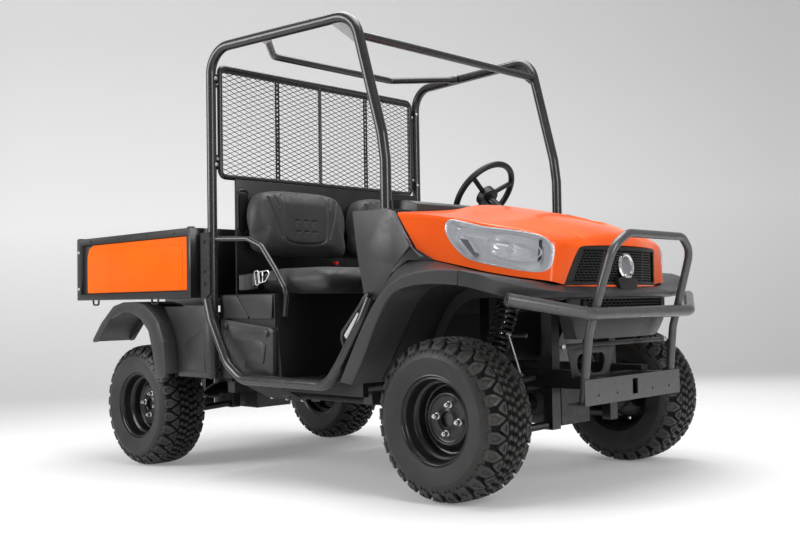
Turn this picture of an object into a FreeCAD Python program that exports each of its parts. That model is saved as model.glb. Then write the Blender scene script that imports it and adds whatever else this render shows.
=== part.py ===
import FreeCAD
import Part
import math
import os

# Side by side utility vehicle, two seats, tipping cargo bed. Millimetres.
# Modelled level: X forward from the front axle, Y to the left, Z up from the ground.
# The last section leans the body to its parked stance and centres the vehicle.

# Layout
wheelbase = 2045.0
front_track = 1235.0
rear_track = 1230.0
stance_deg = 1.9
tyre_radius = 306.0
tyre_width = 254.0
rim_seat_radius = 152.0
rim_flange_radius = 171.0
rim_width = 224.0
kingpin_half_span = 525.0
joint_gap = 0.3
hub_face = 20.0
ball_drop = 90.0
ball_radius = 20.0
ball_pin_radius = 9.0
tie_ball_radius = 13.0
tie_inner_half = 270.0

rear_axle_x = -wheelbase
shaft_z = tyre_radius + 20.0
rear_shaft_z = 288.0
prop_z = 256.0
prop_radius = 18.0
rear_carrier_half = 500.0
arm_reach_low = 160.0
arm_reach_high = 100.0
arm_reach_rear = 120.0
damper_low_half = 400.0
lug_count = 22
lug_slot = 17.0
lug_depth = 11.0
tread_groove = 8.0
tread_groove_half = 50.0
rim_wall = 4.0
rim_step = 16.0
disc_radius = 100.0
vent_count = 10
vent_radius = 7.0
hub_bore_radius = 30.0

# Cab
cab_half = 680.0
floor_z = 405.0
floor_plate = 16.0
seat_box_front_x = -930.0
seat_box_rear_x = -1380.0
seat_box_top_z = 790.0
seat_box_slant = 40.0
seat_middle_gap = 40.0
seat_side_room = 70.0
seat_width = cab_half - seat_side_room - seat_middle_gap / 2
cushion_front_x = -700.0
cushion_rear_x = -1190.0
cushion_thick = 120.0
pad_bevel = 28.0
pad_corner = 60.0
back_low_z = 966.0
back_height = 320.0
back_thick = 135.0
back_lean = 22.0
dash_top_z = 1112.0
dash_rear_x = -458.0
dash_half = cab_half - 120.0
cover_top_z = 1150.0
rear_wall_x = -1330.0
rear_wall_top_z = 1335.0
rear_wall_half = cab_half - 60.0
wall_rib = 7.0
panel = 12.0

# Safety cage
cage_tube = 46.0
cage_bend = 120.0
cage_rear_x = -1402.0
cage_front_x = -358.0
cage_rear_half = cab_half + 24.0
cage_front_half = cab_half - 85.0
cage_top_z = 1950.0
cage_roof_front_x = -515.0
cage_elbow_x = -373.0
cage_elbow_z = 1430.0
front_bar_drop = 93.0
gusset_reach = 150.0
crossbar_tube = 34.0
rear_bar_joint_x = -1030.0
rear_bar_x = -1305.0
rear_bar_half = cage_rear_half - 300.0
screen_top_z = cage_top_z - 74.0
screen_bottom_z = 1352.0
screen_half = cage_rear_half - 49.0
screen_tube = 26.0
screen_upright_ys = (-310.0, -24.0, 300.0)
tab_inset = 82.0

# Cargo bed
bed_overhang = 545.0
bed_rear_x = rear_axle_x - bed_overhang
bed_length = 1090.0
bed_half = 762.0
bed_floor_z = 779.0
bed_depth = 295.0
bed_ledge = 6.0
bed_rail_height = 36.0
bed_post = 40.0
panel_emboss = 3.0
bed_beam_half = 315.0
bed_wall = 30.0
bed_floor_plate = 38.0
bed_hinge_x = rear_axle_x - 305.0
bed_hinge_z = 690.0
tailgate_height = 258.0
tailgate_wall = 30.0

# Hood and nose
hood_rear_x = -213.0
hood_wall = 5.0
hood_recess = 9.0
recess_half = 222.0
recess_rear_x = 90.0
recess_corner = 45.0
hood_side_lean = 0.13
hood_hinge_x = -226.0
hood_hinge_z = 1138.0
hood_hinge_y = 150.0
hinge_lug = 20.0
hinge_pin_radius = 5.0
hinge_lug_radius = 8.0
cowl_gap = 6.0
cowl_half = cab_half + 10.0
nose_corner_x = 316.0
nose_knee_x = 331.0
nose_knee_half = 296.0
nose_tip_x = 390.0
grille_half_low = 331.0
grille_half_high = 272.0
grille_low_z = 797.0
grille_high_z = 946.0
grille_thick = 14.0
grille_frame = 12.0
grille_rows = 9
grille_columns = 14
grille_bar = 5.0
disc_boss_radius = 45.0
lamp_depth = 70.0
lamp_corner = 22.0
# Across the hood at each x: middle, plateau edge, foot of its slope and side crease.
hood_sections = (
    (-213.0, 1158.0, (262.0, 1136.0), (350.0, 1117.0), (cab_half + 3.0, 1094.0)),
    (-110.0, 1139.0, (264.0, 1115.0), (384.0, 1096.0), (cab_half - 55.0, 1084.0)),
    (0.0, 1114.0, (264.0, 1092.0), (420.0, 1068.0), (565.0, 1058.0)),
    (90.0, 1091.0, (266.0, 1073.0), (446.0, 1045.0), (512.0, 1034.0)),
    (190.0, 1062.0, (271.0, 1040.0), (430.0, 1022.0), (458.0, 1014.0)),
    (270.0, 1036.0, (275.0, 1004.0), (396.0, 997.0), (416.0, 991.0)),
    (330.0, 1014.0, (276.0, 979.0), (366.0, 960.0), (387.0, 950.0)),
    (410.0, 985.0, (277.0, 946.0), (326.0, 912.0), (345.0, 900.0)))
# Lower edge of the hood's side, from its rear corner to the nose.
hood_edge = ((-213.0, 1093.0), (-119.0, 917.0), (-75.0, 904.0), (10.0, 881.0), (105.0, 853.0),
             (195.0, 833.0), (275.0, 820.0), (330.0, 806.0), (420.0, 797.0))
# Lamp outline on the hood's side: along it and up it from the lamp's middle.
lamp_middle = (140.0, 487.0, 955.0)
lamp_outline = ((-214.0, 78.0), (-202.0, 103.0), (22.0, 60.0), (159.0, 27.0), (196.0, -9.0), (202.0, -26.0),
                (184.0, -94.0), (159.0, -109.0), (-1.0, -87.0), (-131.0, -49.0), (-175.0, -8.0))
# Front flare by angle about the axle: skin, crease and edge radii, and the skin's inner half width.
flare_half = cab_half + 94.0
flare_wall = 7.0
flare_turn = 110.0
flare_sections = (
    (165.0, 497.0, 476.0, 415.0, 695.0), (150.0, 480.0, 459.0, 393.0, 695.0),
    (137.0, 492.0, 468.0, 410.0, 695.0), (124.0, 548.0, 505.0, 440.0, cowl_half + joint_gap),
    (112.0, 607.0, 532.0, 486.0, cowl_half + joint_gap), (98.0, 606.0, 554.0, 508.0, 645.0),
    (84.0, 557.0, 561.0, 505.0, 574.0))
flare_seam_x = 152.0
# Nose skin from the seam to the middle: inner edge, crease and lip.
fascia_sections = (
    ((flare_seam_x, 512.0, 838.0), (flare_seam_x, 758.0, 855.0), (flare_seam_x, 752.0, 803.0)),
    ((222.0, 478.0, 824.0), (222.0, 730.0, 842.0), (215.0, 728.0, 788.0)),
    ((264.0, 450.0, 815.0), (260.0, 690.0, 824.0), (248.0, 688.0, 768.0)),
    ((294.0, 425.0, 806.0), (288.0, 630.0, 804.0), (268.0, 626.0, 748.0)),
    ((312.0, 400.0, 798.0), (318.0, 545.0, 789.0), (294.0, 540.0, 736.0)),
    ((330.0, 350.0, 792.0), (362.0, 440.0, 776.0), (344.0, 434.0, 736.0)),
    ((355.0, 250.0, 787.0), (396.0, 300.0, 767.0), (384.0, 296.0, 740.0)),
    ((382.0, 0.0, 784.0), (412.0, 0.0, 762.0), (402.0, 0.0, 739.0)))
fascia_wall = 6.0
chin_low_z = 591.0
chin_half = 345.0
chin_tip_x = 400.0
chin_side_x = 352.0
intake_half = 300.0
intake_low_z = 684.0
intake_high_z = 737.0
intake_bars = 5

# Front guard
bumper_tube = 48.0
bumper_x = 450.0
bumper_z = 690.0
bumper_half = 370.0
hoop_tube = 32.0
bumper_end_half = 652.0
bumper_end_x = 296.0
bumper_end_z = 748.0
hoop_top_x = 515.0
hoop_top_z = 987.0
hoop_top_half = 205.0
guard_plate_x = 403.0
guard_plate_half = 350.0
guard_plate_low_z = 357.0
guard_plate_high_z = 447.0
plate_hole_radius = 5.0
plate_hole_ys = (-260.0, -130.0, 130.0, 260.0)

# Running gear
rail_half = 230.0
rail_width = 50.0
rail_low_z = 330.0
rail_height = 70.0
rail_front_low_z = 400.0
rail_rear_low_z = 440.0
arm_bracket = 5.0
shaft_radius = 15.0
cv_radius = 30.0
damper_top_half = 262.0
steer_arm = 105.0
tie_rod_radius = 8.0
pin_play = 0.05
rail_front_x = 330.0
rail_rear_x = rear_axle_x - 355.0
rail_kick = 90.0
front_kick_x = -430.0
rear_kick_x = cage_rear_x - 38.0
member_width = 50.0
engine_member_x = rear_axle_x + 255.0
engine_half = 160.0
engine_top_z = 730.0
muffler_x = rear_axle_x - 255.0
muffler_radius = 70.0
muffler_half = 150.0
outrigger_half = cab_half - 60.0
outrigger_xs = (-1405.0, -1005.0, -480.0)
bracket_half = 20.0
hitch_half = 32.0
hitch_socket = 51.0
hitch_z = 404.0
lift_base_x = rear_axle_x + 145.0
lift_base_z = 340.0
lift_eye_x = rear_axle_x + 45.0
lift_eye_z = 726.0
lift_y = 130.0
lift_barrel_radius = 32.0
lift_rod_radius = 16.0
lift_pin_radius = 10.0
hitch_pin_radius = 8.2
steering_wheel_x = -600.0
steering_wheel_y = 330.0
steering_wheel_z = 1262.0
steering_wheel_radius = 172.0
steering_tilt_deg = 38.0
up = FreeCAD.Vector(0, 0, 1)
left = FreeCAD.Vector(0, 1, 0)
ahead = FreeCAD.Vector(1, 0, 0)


def vec(x, y, z):
    return FreeCAD.Vector(x, y, z)


def block(x0, x1, y0, y1, z0, z1):
    return Part.makeBox(x1 - x0, y1 - y0, z1 - z0, vec(x0, y0, z0))


def rod(start, end, radius):
    return Part.makeCylinder(radius, (end - start).Length, start, end - start)


def disc(x, y, z, radius, width):
    return Part.makeCylinder(radius, width, vec(x, y - width / 2, z), left)


def mirrored(shape):
    return shape.mirror(vec(0, 0, 0), left)


def fused(shapes):
    return shapes[0].multiFuse(shapes[1:]).removeSplitter()


def rounded(points, radius, closed):
    # Straight runs joined by tangent arcs at the corners.
    count = len(points)
    edges = []
    starts = []
    corners = range(count) if closed else range(1, count - 1)
    arcs = {}
    for i in corners:
        here = points[i]
        back = (points[i - 1] - here).normalize()
        onward = (points[(i + 1) % count] - here).normalize()
        half = back.getAngle(onward) / 2
        if math.pi / 2 - half < 0.01:
            continue
        room = 0.45 * min((points[i - 1] - here).Length, (points[(i + 1) % count] - here).Length)
        size = min(radius, room * math.tan(half))
        reach = size / math.tan(half)
        middle = here + (back + onward).normalize() * (size / math.sin(half) - size)
        arcs[i] = (here + back * reach, middle, here + onward * reach)
    for i in range(count):
        starts.append(arcs[i][0] if i in arcs else points[i])
    for i in range(count):
        if i in arcs:
            edges.append(Part.Arc(*arcs[i]).toShape())
        leave = arcs[i][2] if i in arcs else points[i]
        if closed or i < count - 1:
            arrive = starts[(i + 1) % count]
            if (arrive - leave).Length > 0.01:
                edges.append(Part.LineSegment(leave, arrive).toShape())
    return Part.Wire(edges)


def tube(points, diameter, bend):
    # Round bar along straight runs and tangent bends.
    path = rounded(points, bend, False)
    start = points[0]
    ring = Part.Wire([Part.makeCircle(diameter / 2, start, points[1] - start)])
    return path.makePipeShell([ring], True, False)


def side_plate(outline, y0, y1, radius=0.0):
    # Outline of (x, z) points, extruded across from y0 to y1.
    points = [vec(x, y0, z) for x, z in outline]
    wire = rounded(points, radius, True) if radius else Part.makePolygon(points + points[:1])
    return Part.Face(wire).extrude(vec(0, y1 - y0, 0))


def plan_plate(outline, z0, z1, radius=0.0):
    # Outline of (x, y) points, extruded up from z0 to z1.
    points = [vec(x, y, z0) for x, y in outline]
    wire = rounded(points, radius, True) if radius else Part.makePolygon(points + points[:1])
    return Part.Face(wire).extrude(vec(0, 0, z1 - z0))


def front_plate(outline, x0, x1, radius=0.0):
    # Outline of (y, z) points, extruded ahead from x0 to x1.
    points = [vec(x0, y, z) for y, z in outline]
    wire = rounded(points, radius, True) if radius else Part.makePolygon(points + points[:1])
    return Part.Face(wire).extrude(vec(x1 - x0, 0, 0))


def turned(profile, y_centre, z_centre, x_centre):
    # Profile of (radius, offset) points, turned about the wheel axle.
    points = [vec(x_centre, y_centre + offset, z_centre + radius) for radius, offset in profile]
    face = Part.Face(Part.makePolygon(points + points[:1]))
    return face.revolve(vec(x_centre, y_centre, z_centre), left, 360)


def rect_outline(a0, a1, b0, b1):
    return [(a0, b0), (a1, b0), (a1, b1), (a0, b1)]


# Stance: the body leans nose down about the front axle.
def leaned(place):
    return body_placement.multVec(place)


body_placement = FreeCAD.Placement(
    vec(0, 0, 0), FreeCAD.Rotation(left, stance_deg), vec(0, 0, tyre_radius))


# Wheels
def tyre_profile():
    half = tyre_width / 2
    flange = rim_width / 2
    lower = [(rim_seat_radius + joint_gap, -flange + 17), (rim_flange_radius + 0.8, -flange + 6.2),
             (rim_flange_radius + 5, -flange - 1), (rim_flange_radius + 40, -half + 4),
             (tyre_radius - 62, -half), (tyre_radius - 18, -half + 10), (tyre_radius - 4, -half + 22),
             (tyre_radius, -half + 75)]
    return lower + [(radius, -offset) for radius, offset in reversed(lower)]


def tyre(x, y):
    # Slots across both shoulders and two grooves round the tread leave its lugs.
    body = turned(tyre_profile(), y, tyre_radius, x)
    cutters = []
    floor = tyre_radius - lug_depth
    for side in (1, -1):
        for k in range(lug_count):
            angle = 360.0 / lug_count * (k + 0.25 * (1 + side))
            near, far = sorted((side * tread_groove_half, side * (tyre_width / 2 + 1)))
            slot = block(-lug_slot / 2, lug_slot / 2, near, far, floor, tyre_radius + 1)
            slot.rotate(vec(0, 0, 0), left, angle)
            cutters.append(slot)
        near = side * tread_groove_half - tread_groove / 2
        outline = rect_outline(floor, tyre_radius + 1, near, near + tread_groove)
        cutters.append(turned(outline, 0, 0, 0))
    tools = Part.makeCompound(cutters)
    tools.translate(vec(x, y, tyre_radius))
    return body.cut(tools)


def rim(x, y, outward):
    # Stepped barrel with a vented centre disc set well in, and a ring round its bore.
    half = rim_width / 2
    wall = rim_wall
    seat = rim_seat_radius
    drop = seat - rim_step
    outer = [(rim_flange_radius, half), (rim_flange_radius, half - wall), (seat, half - 14),
             (seat, half - 50), (drop, half - 58), (drop, -half + 58), (seat, -half + 50),
             (seat, -half + 14), (rim_flange_radius, -half + wall), (rim_flange_radius, -half)]
    inner = [(seat - wall, -half), (seat - wall, -half + 50), (drop - wall, -half + 60),
             (drop - wall, half - 60), (seat - wall, half - 50), (seat - wall, half)]
    profile = [(radius, outward * offset) for radius, offset in outer + inner]
    barrel = turned(profile, y, tyre_radius, x)
    back = hub_face
    dish = [(drop - 2, back - 12), (drop - 2, back - 6), (disc_radius, back + 14), (62, back + 8),
            (44, back + 12), (hub_bore_radius, back + 20), (hub_bore_radius, back + 3), (0, back + 3),
            (0, back + joint_gap), (62, back), (disc_radius, back + 4)]
    centre = turned([(radius, outward * offset) for radius, offset in dish], y, tyre_radius, x)
    vents = []
    for k in range(vent_count):
        angle = math.radians(360.0 / vent_count * k)
        reach = (disc_radius + drop) / 2
        vents.append(disc(x + reach * math.cos(angle), y + outward * back,
                          tyre_radius + reach * math.sin(angle),
                          vent_radius, 60))
    return fused([barrel, centre]).cut(Part.makeCompound(vents))


def knuckle(side):
    # Upright between two ball joints on the kingpin line, with the wheel's stub axle.
    y = side * kingpin_half_span
    z = tyre_radius
    stub_end = side * (front_track / 2 + hub_face - joint_gap)
    upright = block(-26, 26, y - 18, y + 18, z - ball_drop + ball_radius + 1, z + ball_drop - ball_radius - 1)
    carrier = rod(vec(0, y - side * 20, z), vec(0, y + side * 34, z), 60)
    stub = rod(vec(0, y, z), vec(0, stub_end, z), 34)
    arm = block(-steer_arm - 12, 0, y - 12, y + 12, z - 40, z - 16)
    pins = rod(vec(0, y, z - ball_drop), vec(0, y, z + ball_drop), ball_pin_radius + pin_play)
    body = fused([upright, carrier, stub, arm]).cut(pins)
    mouth = rod(vec(0, y, z), vec(0, y - side * 30, z), cv_radius + 6)
    return body.cut(Part.makeSphere(cv_radius + joint_gap, vec(0, y, z))).cut(mouth)


def tie_rod(side):
    # Ball joint over the steering arm, and the rod that runs into the rack's bellows.
    y = side * kingpin_half_span
    z = tyre_radius - 16 + joint_gap + tie_ball_radius
    ball = Part.makeSphere(tie_ball_radius, vec(-steer_arm, y, z))
    return fused([ball, rod(vec(-steer_arm, y, z), vec(-steer_arm, side * tie_inner_half, z), tie_rod_radius)])


# Ladder frame
def rail_inner():
    return rail_half - rail_width


def frame_rails():
    # Two box rails that drop under the cab and kick up over both axles.
    low_top = rail_low_z + rail_height
    front_top = rail_front_low_z + rail_height
    rear_top = rail_rear_low_z + rail_height
    outline = [(rail_rear_x, rail_rear_low_z), (rear_kick_x - rail_kick, rail_rear_low_z),
               (rear_kick_x, rail_low_z), (front_kick_x, rail_low_z),
               (front_kick_x + rail_kick, rail_front_low_z), (rail_front_x, rail_front_low_z),
               (rail_front_x, front_top), (front_kick_x + rail_kick + 5, front_top),
               (front_kick_x + 5, low_top), (rear_kick_x + 30, low_top),
               (rear_kick_x + 30 - rail_kick, rear_top), (rail_rear_x, rear_top)]
    rail = side_plate(outline, rail_inner(), rail_half)
    return [rail, mirrored(rail)]


def frame_members():
    # Cross members between the rails, outriggers under the cab, and the wishbones' brackets.
    inner = rail_inner()
    members = []
    for x, low in ((rail_front_x - member_width, rail_front_low_z), (rail_rear_x, rail_rear_low_z),
                   (front_kick_x - 2 * member_width, rail_low_z), (-980, rail_low_z),
                   (rear_kick_x, rail_low_z), (engine_member_x, rail_rear_low_z)):
        members.append(block(x, x + member_width, -inner, inner, low, low + member_width))
    for side in (1, -1):
        near, far = sorted((side * rail_half, side * outrigger_half))
        for x in outrigger_xs:
            members.append(block(x, x + member_width, near, far, rail_low_z, rail_low_z + member_width))
        near, far = sorted((side * inner, side * (rail_half + arm_bracket)))
        for way in (1, -1):
            x = way * arm_reach_low
            members.append(block(x - bracket_half, x + bracket_half, near, far, 236, rail_front_low_z))
            x = rear_axle_x + way * arm_reach_rear
            members.append(block(x - bracket_half, x + bracket_half, near, far, 193, rail_rear_low_z))
    return members


def hitch_receiver():
    # Square socket under the rear cross member, with its pin hole.
    top = rail_rear_low_z
    body = block(rail_rear_x - 40, rail_rear_x + 60, -hitch_half, hitch_half, top - 2 * hitch_half - 4, top)
    socket = block(rail_rear_x - 41, rail_rear_x + 55, -hitch_socket / 2, hitch_socket / 2,
                   hitch_z - hitch_socket / 2, hitch_z + hitch_socket / 2)
    pin_hole = disc(rail_rear_x - 15, 0, hitch_z, hitch_pin_radius, 4 * hitch_half)
    return body.cut(socket).cut(pin_hole)


def suspension_towers():
    # Posts on the rails with the shelves that hold the dampers' upper ends.
    inner = rail_inner()
    shelf_y = damper_top_half + 24
    front_foot = rail_front_low_z + rail_height
    front = fused([block(-180, -130, inner, rail_half, front_foot, 790),
                   block(130, 180, inner, rail_half, front_foot, 790),
                   block(-180, rail_front_x, inner, rail_half, 765, 790),
                   block(-30, 30, inner, shelf_y, 751, 765)])
    rear_foot = rail_rear_low_z + rail_height
    rear = fused([block(rear_axle_x - 30, rear_axle_x + 30, inner, rail_half, rear_foot, 704),
                  block(rear_axle_x - 30, rear_axle_x + 30, inner, shelf_y, 692, 704)])
    return [front, rear, mirrored(front), mirrored(rear)]


def lift_mount():
    # Plate on the left rail's inner face, with the pin that carries the lift barrel.
    inner = rail_inner()
    plate = block(lift_base_x - 30, lift_base_x + 30, inner - 12, inner,
                  lift_base_z - 25, rail_rear_low_z + 20)
    return fused([plate, rod(vec(lift_base_x, lift_y - 20, lift_base_z),
                             vec(lift_base_x, inner - 1, lift_base_z), lift_pin_radius)])


def engine():
    rear = engine_member_x + member_width + joint_gap
    return block(rear, cage_rear_x + 2, -engine_half, engine_half,
                 rail_low_z + member_width + joint_gap, engine_top_z)


def muffler():
    # Round silencer on a bracket that stands on the rear cross member.
    floor = rail_rear_low_z + member_width
    z = floor + muffler_radius
    x = muffler_x
    body = rod(vec(x, -muffler_half, z), vec(x, muffler_half, z), muffler_radius)
    pipe = rod(vec(x, 30 - muffler_half, z), vec(x, 30 - muffler_half, z - muffler_radius - 30), 20)
    foot = block(rail_rear_x, x - muffler_radius / 2, -25, 25, floor + joint_gap, floor + 40)
    return fused([body, pipe, foot])


def drive_casings():
    rear = fused([block(rear_axle_x - 140, rear_axle_x + 250, -150, 80, 190, 450),
                  rod(vec(rear_axle_x, -172, rear_shaft_z), vec(rear_axle_x, 172, rear_shaft_z), 66)])
    front = fused([block(-70, 130, -100, 100, 236, 430),
                   rod(vec(0, -150, shaft_z), vec(0, 150, shaft_z), 48)])
    prop = rod(vec(-70 - joint_gap, 0, prop_z), vec(rear_axle_x + 250 + joint_gap, 0, prop_z), prop_radius)
    return [rear, front, prop]


def drive_shafts():
    # Half shafts, each with a joint cup at its casing and another at its hub.
    shafts = []
    for side in (1, -1):
        start = leaned(vec(0, side * 152.6, shaft_z))
        end = vec(0, side * kingpin_half_span, tyre_radius)
        shafts.append(fused([rod(start, end, shaft_radius), Part.makeSphere(cv_radius, end),
                             rod(start, start + (end - start) * 0.2, 36)]))
        start = leaned(vec(rear_axle_x, side * 179, rear_shaft_z))
        end = vec(rear_axle_x, side * (rear_carrier_half - 31), tyre_radius)
        shafts.append(fused([rod(start, end, shaft_radius),
                             rod(start, start + (end - start) * 0.2, 36),
                             rod(end, end - (end - start) * 0.2, 36)]))
    return shafts


def arm_pair(x, reach, inner, inner_z, ball, radius):
    # Two legs from the frame's brackets to one outer point.
    return [rod(leaned(vec(x + way * reach, inner, inner_z)), ball, radius) for way in (1, -1)]


def suspension_arms():
    # Wishbones, and at the rear the carriers that hold the wheel hubs.
    arms = []
    root = rail_half + arm_bracket + 7.5
    z = tyre_radius
    for side in (1, -1):
        ball_y = side * kingpin_half_span
        low_ball = vec(0, ball_y, z - ball_drop)
        high_ball = vec(0, ball_y, z + ball_drop)
        low = arm_pair(0, arm_reach_low, side * root, 256, low_ball, 15)
        low += [Part.makeSphere(ball_radius, low_ball),
                rod(low_ball, low_ball + up * (ball_radius + 34), ball_pin_radius)]
        high = arm_pair(0, arm_reach_high, side * root, 440, high_ball, 13)
        high += [Part.makeSphere(ball_radius, high_ball),
                 rod(high_ball, high_ball - up * (ball_radius + 24), ball_pin_radius),
                 rod(vec(-44, side * damper_low_half, 420), vec(44, side * damper_low_half, 420), 11)]
        arms += [fused(low), fused(high)]
        carrier_y = side * rear_carrier_half
        stub_end = side * (rear_track / 2 + hub_face - joint_gap)
        legs = arm_pair(rear_axle_x, arm_reach_rear, side * root, 215, vec(rear_axle_x, carrier_y, 250), 17)
        legs += arm_pair(rear_axle_x, arm_reach_rear, side * root, 400, vec(rear_axle_x, carrier_y, 395), 14)
        carrier = [block(rear_axle_x - 40, rear_axle_x + 40, carrier_y - 24, carrier_y + 24, 222, 408),
                   rod(vec(rear_axle_x, carrier_y, z), vec(rear_axle_x, stub_end, z), 34),
                   rod(vec(rear_axle_x - 70, side * damper_low_half, 415),
                       vec(rear_axle_x + 70, side * damper_low_half, 415), 11)]
        arms.append(fused(legs + carrier))
    return arms


def coil_dampers():
    dampers = []
    for side in (1, -1):
        for x, low_z, high_z in ((0, 433.2, 738), (rear_axle_x, 427.8, 680)):
            start = vec(x, side * damper_low_half, low_z)
            end = leaned(vec(x, side * damper_top_half, high_z))
            along = end - start
            dampers.append(fused([rod(start, end, 22), rod(start + along * 0.4, end - along * 0.08, 40)]))
    return dampers


def steering_gear():
    # Rack housing with a bellows at each end, and the column that passes into the dash.
    z = tyre_radius - 16 + joint_gap + tie_ball_radius
    housing = rod(vec(-steer_arm, -215, z), vec(-steer_arm, 215, z), 26)
    bellows = []
    for side in (1, -1):
        sleeve = rod(vec(-steer_arm, side * 200, z), vec(-steer_arm, side * 335, z), 35)
        hollow = rod(vec(-steer_arm, side * 212, z), vec(-steer_arm, side * 336, z), 29)
        bellows.append((sleeve, hollow))
    rack = fused([housing] + [sleeve for sleeve, hollow in bellows])
    for sleeve, hollow in bellows:
        rack = rack.cut(hollow)
    stand = block(-steer_arm - 15, -steer_arm + 15, -60, 60, z + 20, rail_front_low_z + 30)
    column = rod(steering_point(-320), steering_point(-40 - joint_gap), 20)
    return [fused([rack, stand]), column]


def steering_point(distance):
    tilt = math.radians(steering_tilt_deg)
    away = vec(-math.cos(tilt), 0, math.sin(tilt))
    return vec(steering_wheel_x, steering_wheel_y, steering_wheel_z) + away * distance


def steering_wheel():
    axis = steering_point(1) - steering_point(0)
    rim_ring = Part.makeTorus(steering_wheel_radius, 15, steering_point(0), axis)
    boss = rod(steering_point(-40), steering_point(-4), 52)
    across = left.cross(axis)
    spokes = []
    for angle in (30, 150, 270):
        direction = left * math.cos(math.radians(angle)) + across * math.sin(math.radians(angle))
        spokes.append(rod(steering_point(-18), steering_point(-4) + direction * steering_wheel_radius, 12))
    return fused([rim_ring, boss] + spokes)


# Cab
def floor_pan():
    front_x = -420
    plate = block(seat_box_rear_x, front_x, -cab_half, cab_half, floor_z, floor_z + floor_plate)
    toe = side_plate([(front_x, floor_z), (front_x, floor_z + floor_plate),
                      (-300, 700), (-300, 960), (-288, 960), (-288, 690)], -dash_half, dash_half)
    sills = []
    for side in (1, -1):
        near, far = sorted((side * (cab_half - 30), side * cab_half))
        sills.append(block(seat_box_front_x, front_x, near, far, floor_z - 40, floor_z + floor_plate))
    return fused([plate, toe] + sills)


def seat_box():
    # Open box under the seats, its front leaning back.
    low = floor_z + floor_plate + joint_gap
    outer = side_plate([(seat_box_front_x, low), (seat_box_front_x - seat_box_slant, seat_box_top_z),
                        (seat_box_rear_x, seat_box_top_z), (seat_box_rear_x, low)], -cab_half, cab_half)
    inner = block(seat_box_rear_x + panel, seat_box_front_x - seat_box_slant - 20, -cab_half + panel,
                  cab_half - panel, floor_z, seat_box_top_z - panel)
    return outer.cut(inner)


def service_doors():
    # Doors with a raised field and two knobs.
    outline = [(-1352, 679), (-982, 640), (-962, 627), (-966, 430), (-1014, 441), (-1181, 444), (-1331, 577)]
    field = [(-1290, 610), (-1040, 582), (-1010, 560), (-1030, 480), (-1160, 486), (-1262, 580)]
    door = side_plate(outline, -cab_half - 22, -cab_half - joint_gap, 14)
    raised = side_plate(field, -cab_half - 27, -cab_half - 20, 12)
    knobs = [disc(x, -cab_half - 27, z, 16, 12) for x, z in ((-1306, 646), (-1006, 616))]
    door = fused([door, raised] + knobs)
    return [door, mirrored(door)]


def pad(base, tip, along):
    # Soft block with rounded corners, bevelled towards its face.
    a0, a1, b0, b1 = base
    wires = []
    for inset, place in ((0, 0), (0, along.Length - pad_bevel), (pad_bevel * 0.8, along.Length)):
        corners = rect_outline(a0 + inset, a1 - inset, b0 + inset, b1 - inset)
        points = [tip(a, b) + along * (place / along.Length) for a, b in corners]
        wires.append(rounded(points, pad_corner - inset / 2, True))
    return Part.makeLoft(wires, True, True)


def seat_cushions():
    # Cushion pads over the seat box, overhanging its front.
    cushions = []
    low = seat_box_top_z + joint_gap
    for side in (1, -1):
        near, far = sorted((side * seat_middle_gap / 2, side * (seat_middle_gap / 2 + seat_width)))
        cushions.append(pad((cushion_rear_x, cushion_front_x, near, far), lambda a, b: vec(a, b, low),
                            up * cushion_thick))
    return cushions


def seat_backs():
    # Back pads that lean against the rear wall.
    backs = []
    slope = back_lean / back_height
    for side in (1, -1):
        near, far = sorted((side * seat_middle_gap / 2, side * (seat_middle_gap / 2 + seat_width)))
        face = rear_wall_x + joint_gap
        foot = lambda a, b: vec(face + (back_low_z + back_height - b) * slope, a, b)
        soft = pad((near, far, back_low_z, back_low_z + back_height), foot, ahead * (back_thick - back_lean))
        spine = side_plate([(face, back_low_z + 20), (face, back_low_z + back_height - 20),
                            (face + 20, back_low_z + back_height - 20),
                            (face + back_lean + 20, back_low_z + 20)], near + 60, far - 60)
        backs.append(fused([soft, spine]))
    return backs


def cab_rear_wall():
    # Wall between the cage posts with upright ribs, standing on the seat box.
    wall = block(rear_wall_x - panel, rear_wall_x, -rear_wall_half, rear_wall_half,
                 seat_box_top_z + 1, rear_wall_top_z)
    channels = []
    for middle in (-0.75, -0.25, 0.25, 0.75):
        y = middle * rear_wall_half
        channels.append(block(rear_wall_x - panel - 1, rear_wall_x - wall_rib, y - 95, y + 95,
                              seat_box_top_z + 60, rear_wall_top_z - 60))
    return wall.cut(Part.makeCompound(channels))


def dashboard():
    # Dash behind the hood, with the dark cover that closes the gap to its rear edge.
    rear = hood_rear_x - cowl_gap
    outline = [(rear, 1096), (rear, cover_top_z - 14), (-262, cover_top_z), (-330, cover_top_z + 8),
               (-430, cover_top_z + 10), (-500, cover_top_z - 10), (-490, 1000), (-440, 860), (-400, 860),
               (-330, 960 + joint_gap), (-291, 960 + joint_gap)]
    body = side_plate(outline, -dash_half, dash_half, 12)
    body = body.cut(rod(steering_point(-600), steering_point(0), 20 + joint_gap))
    reach = hinge_lug_radius + cowl_gap
    pins = []
    for y in (-hood_hinge_y, hood_hinge_y):
        half = hinge_lug / 2 + cowl_gap
        body = body.cut(block(hood_hinge_x - reach, rear + 1, y - half, y + half,
                              hood_hinge_z - reach, cover_top_z + 20))
        pins.append(disc(hood_hinge_x, y, hood_hinge_z, hinge_pin_radius, 2 * half + 10))
    return fused([body] + pins)


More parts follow.
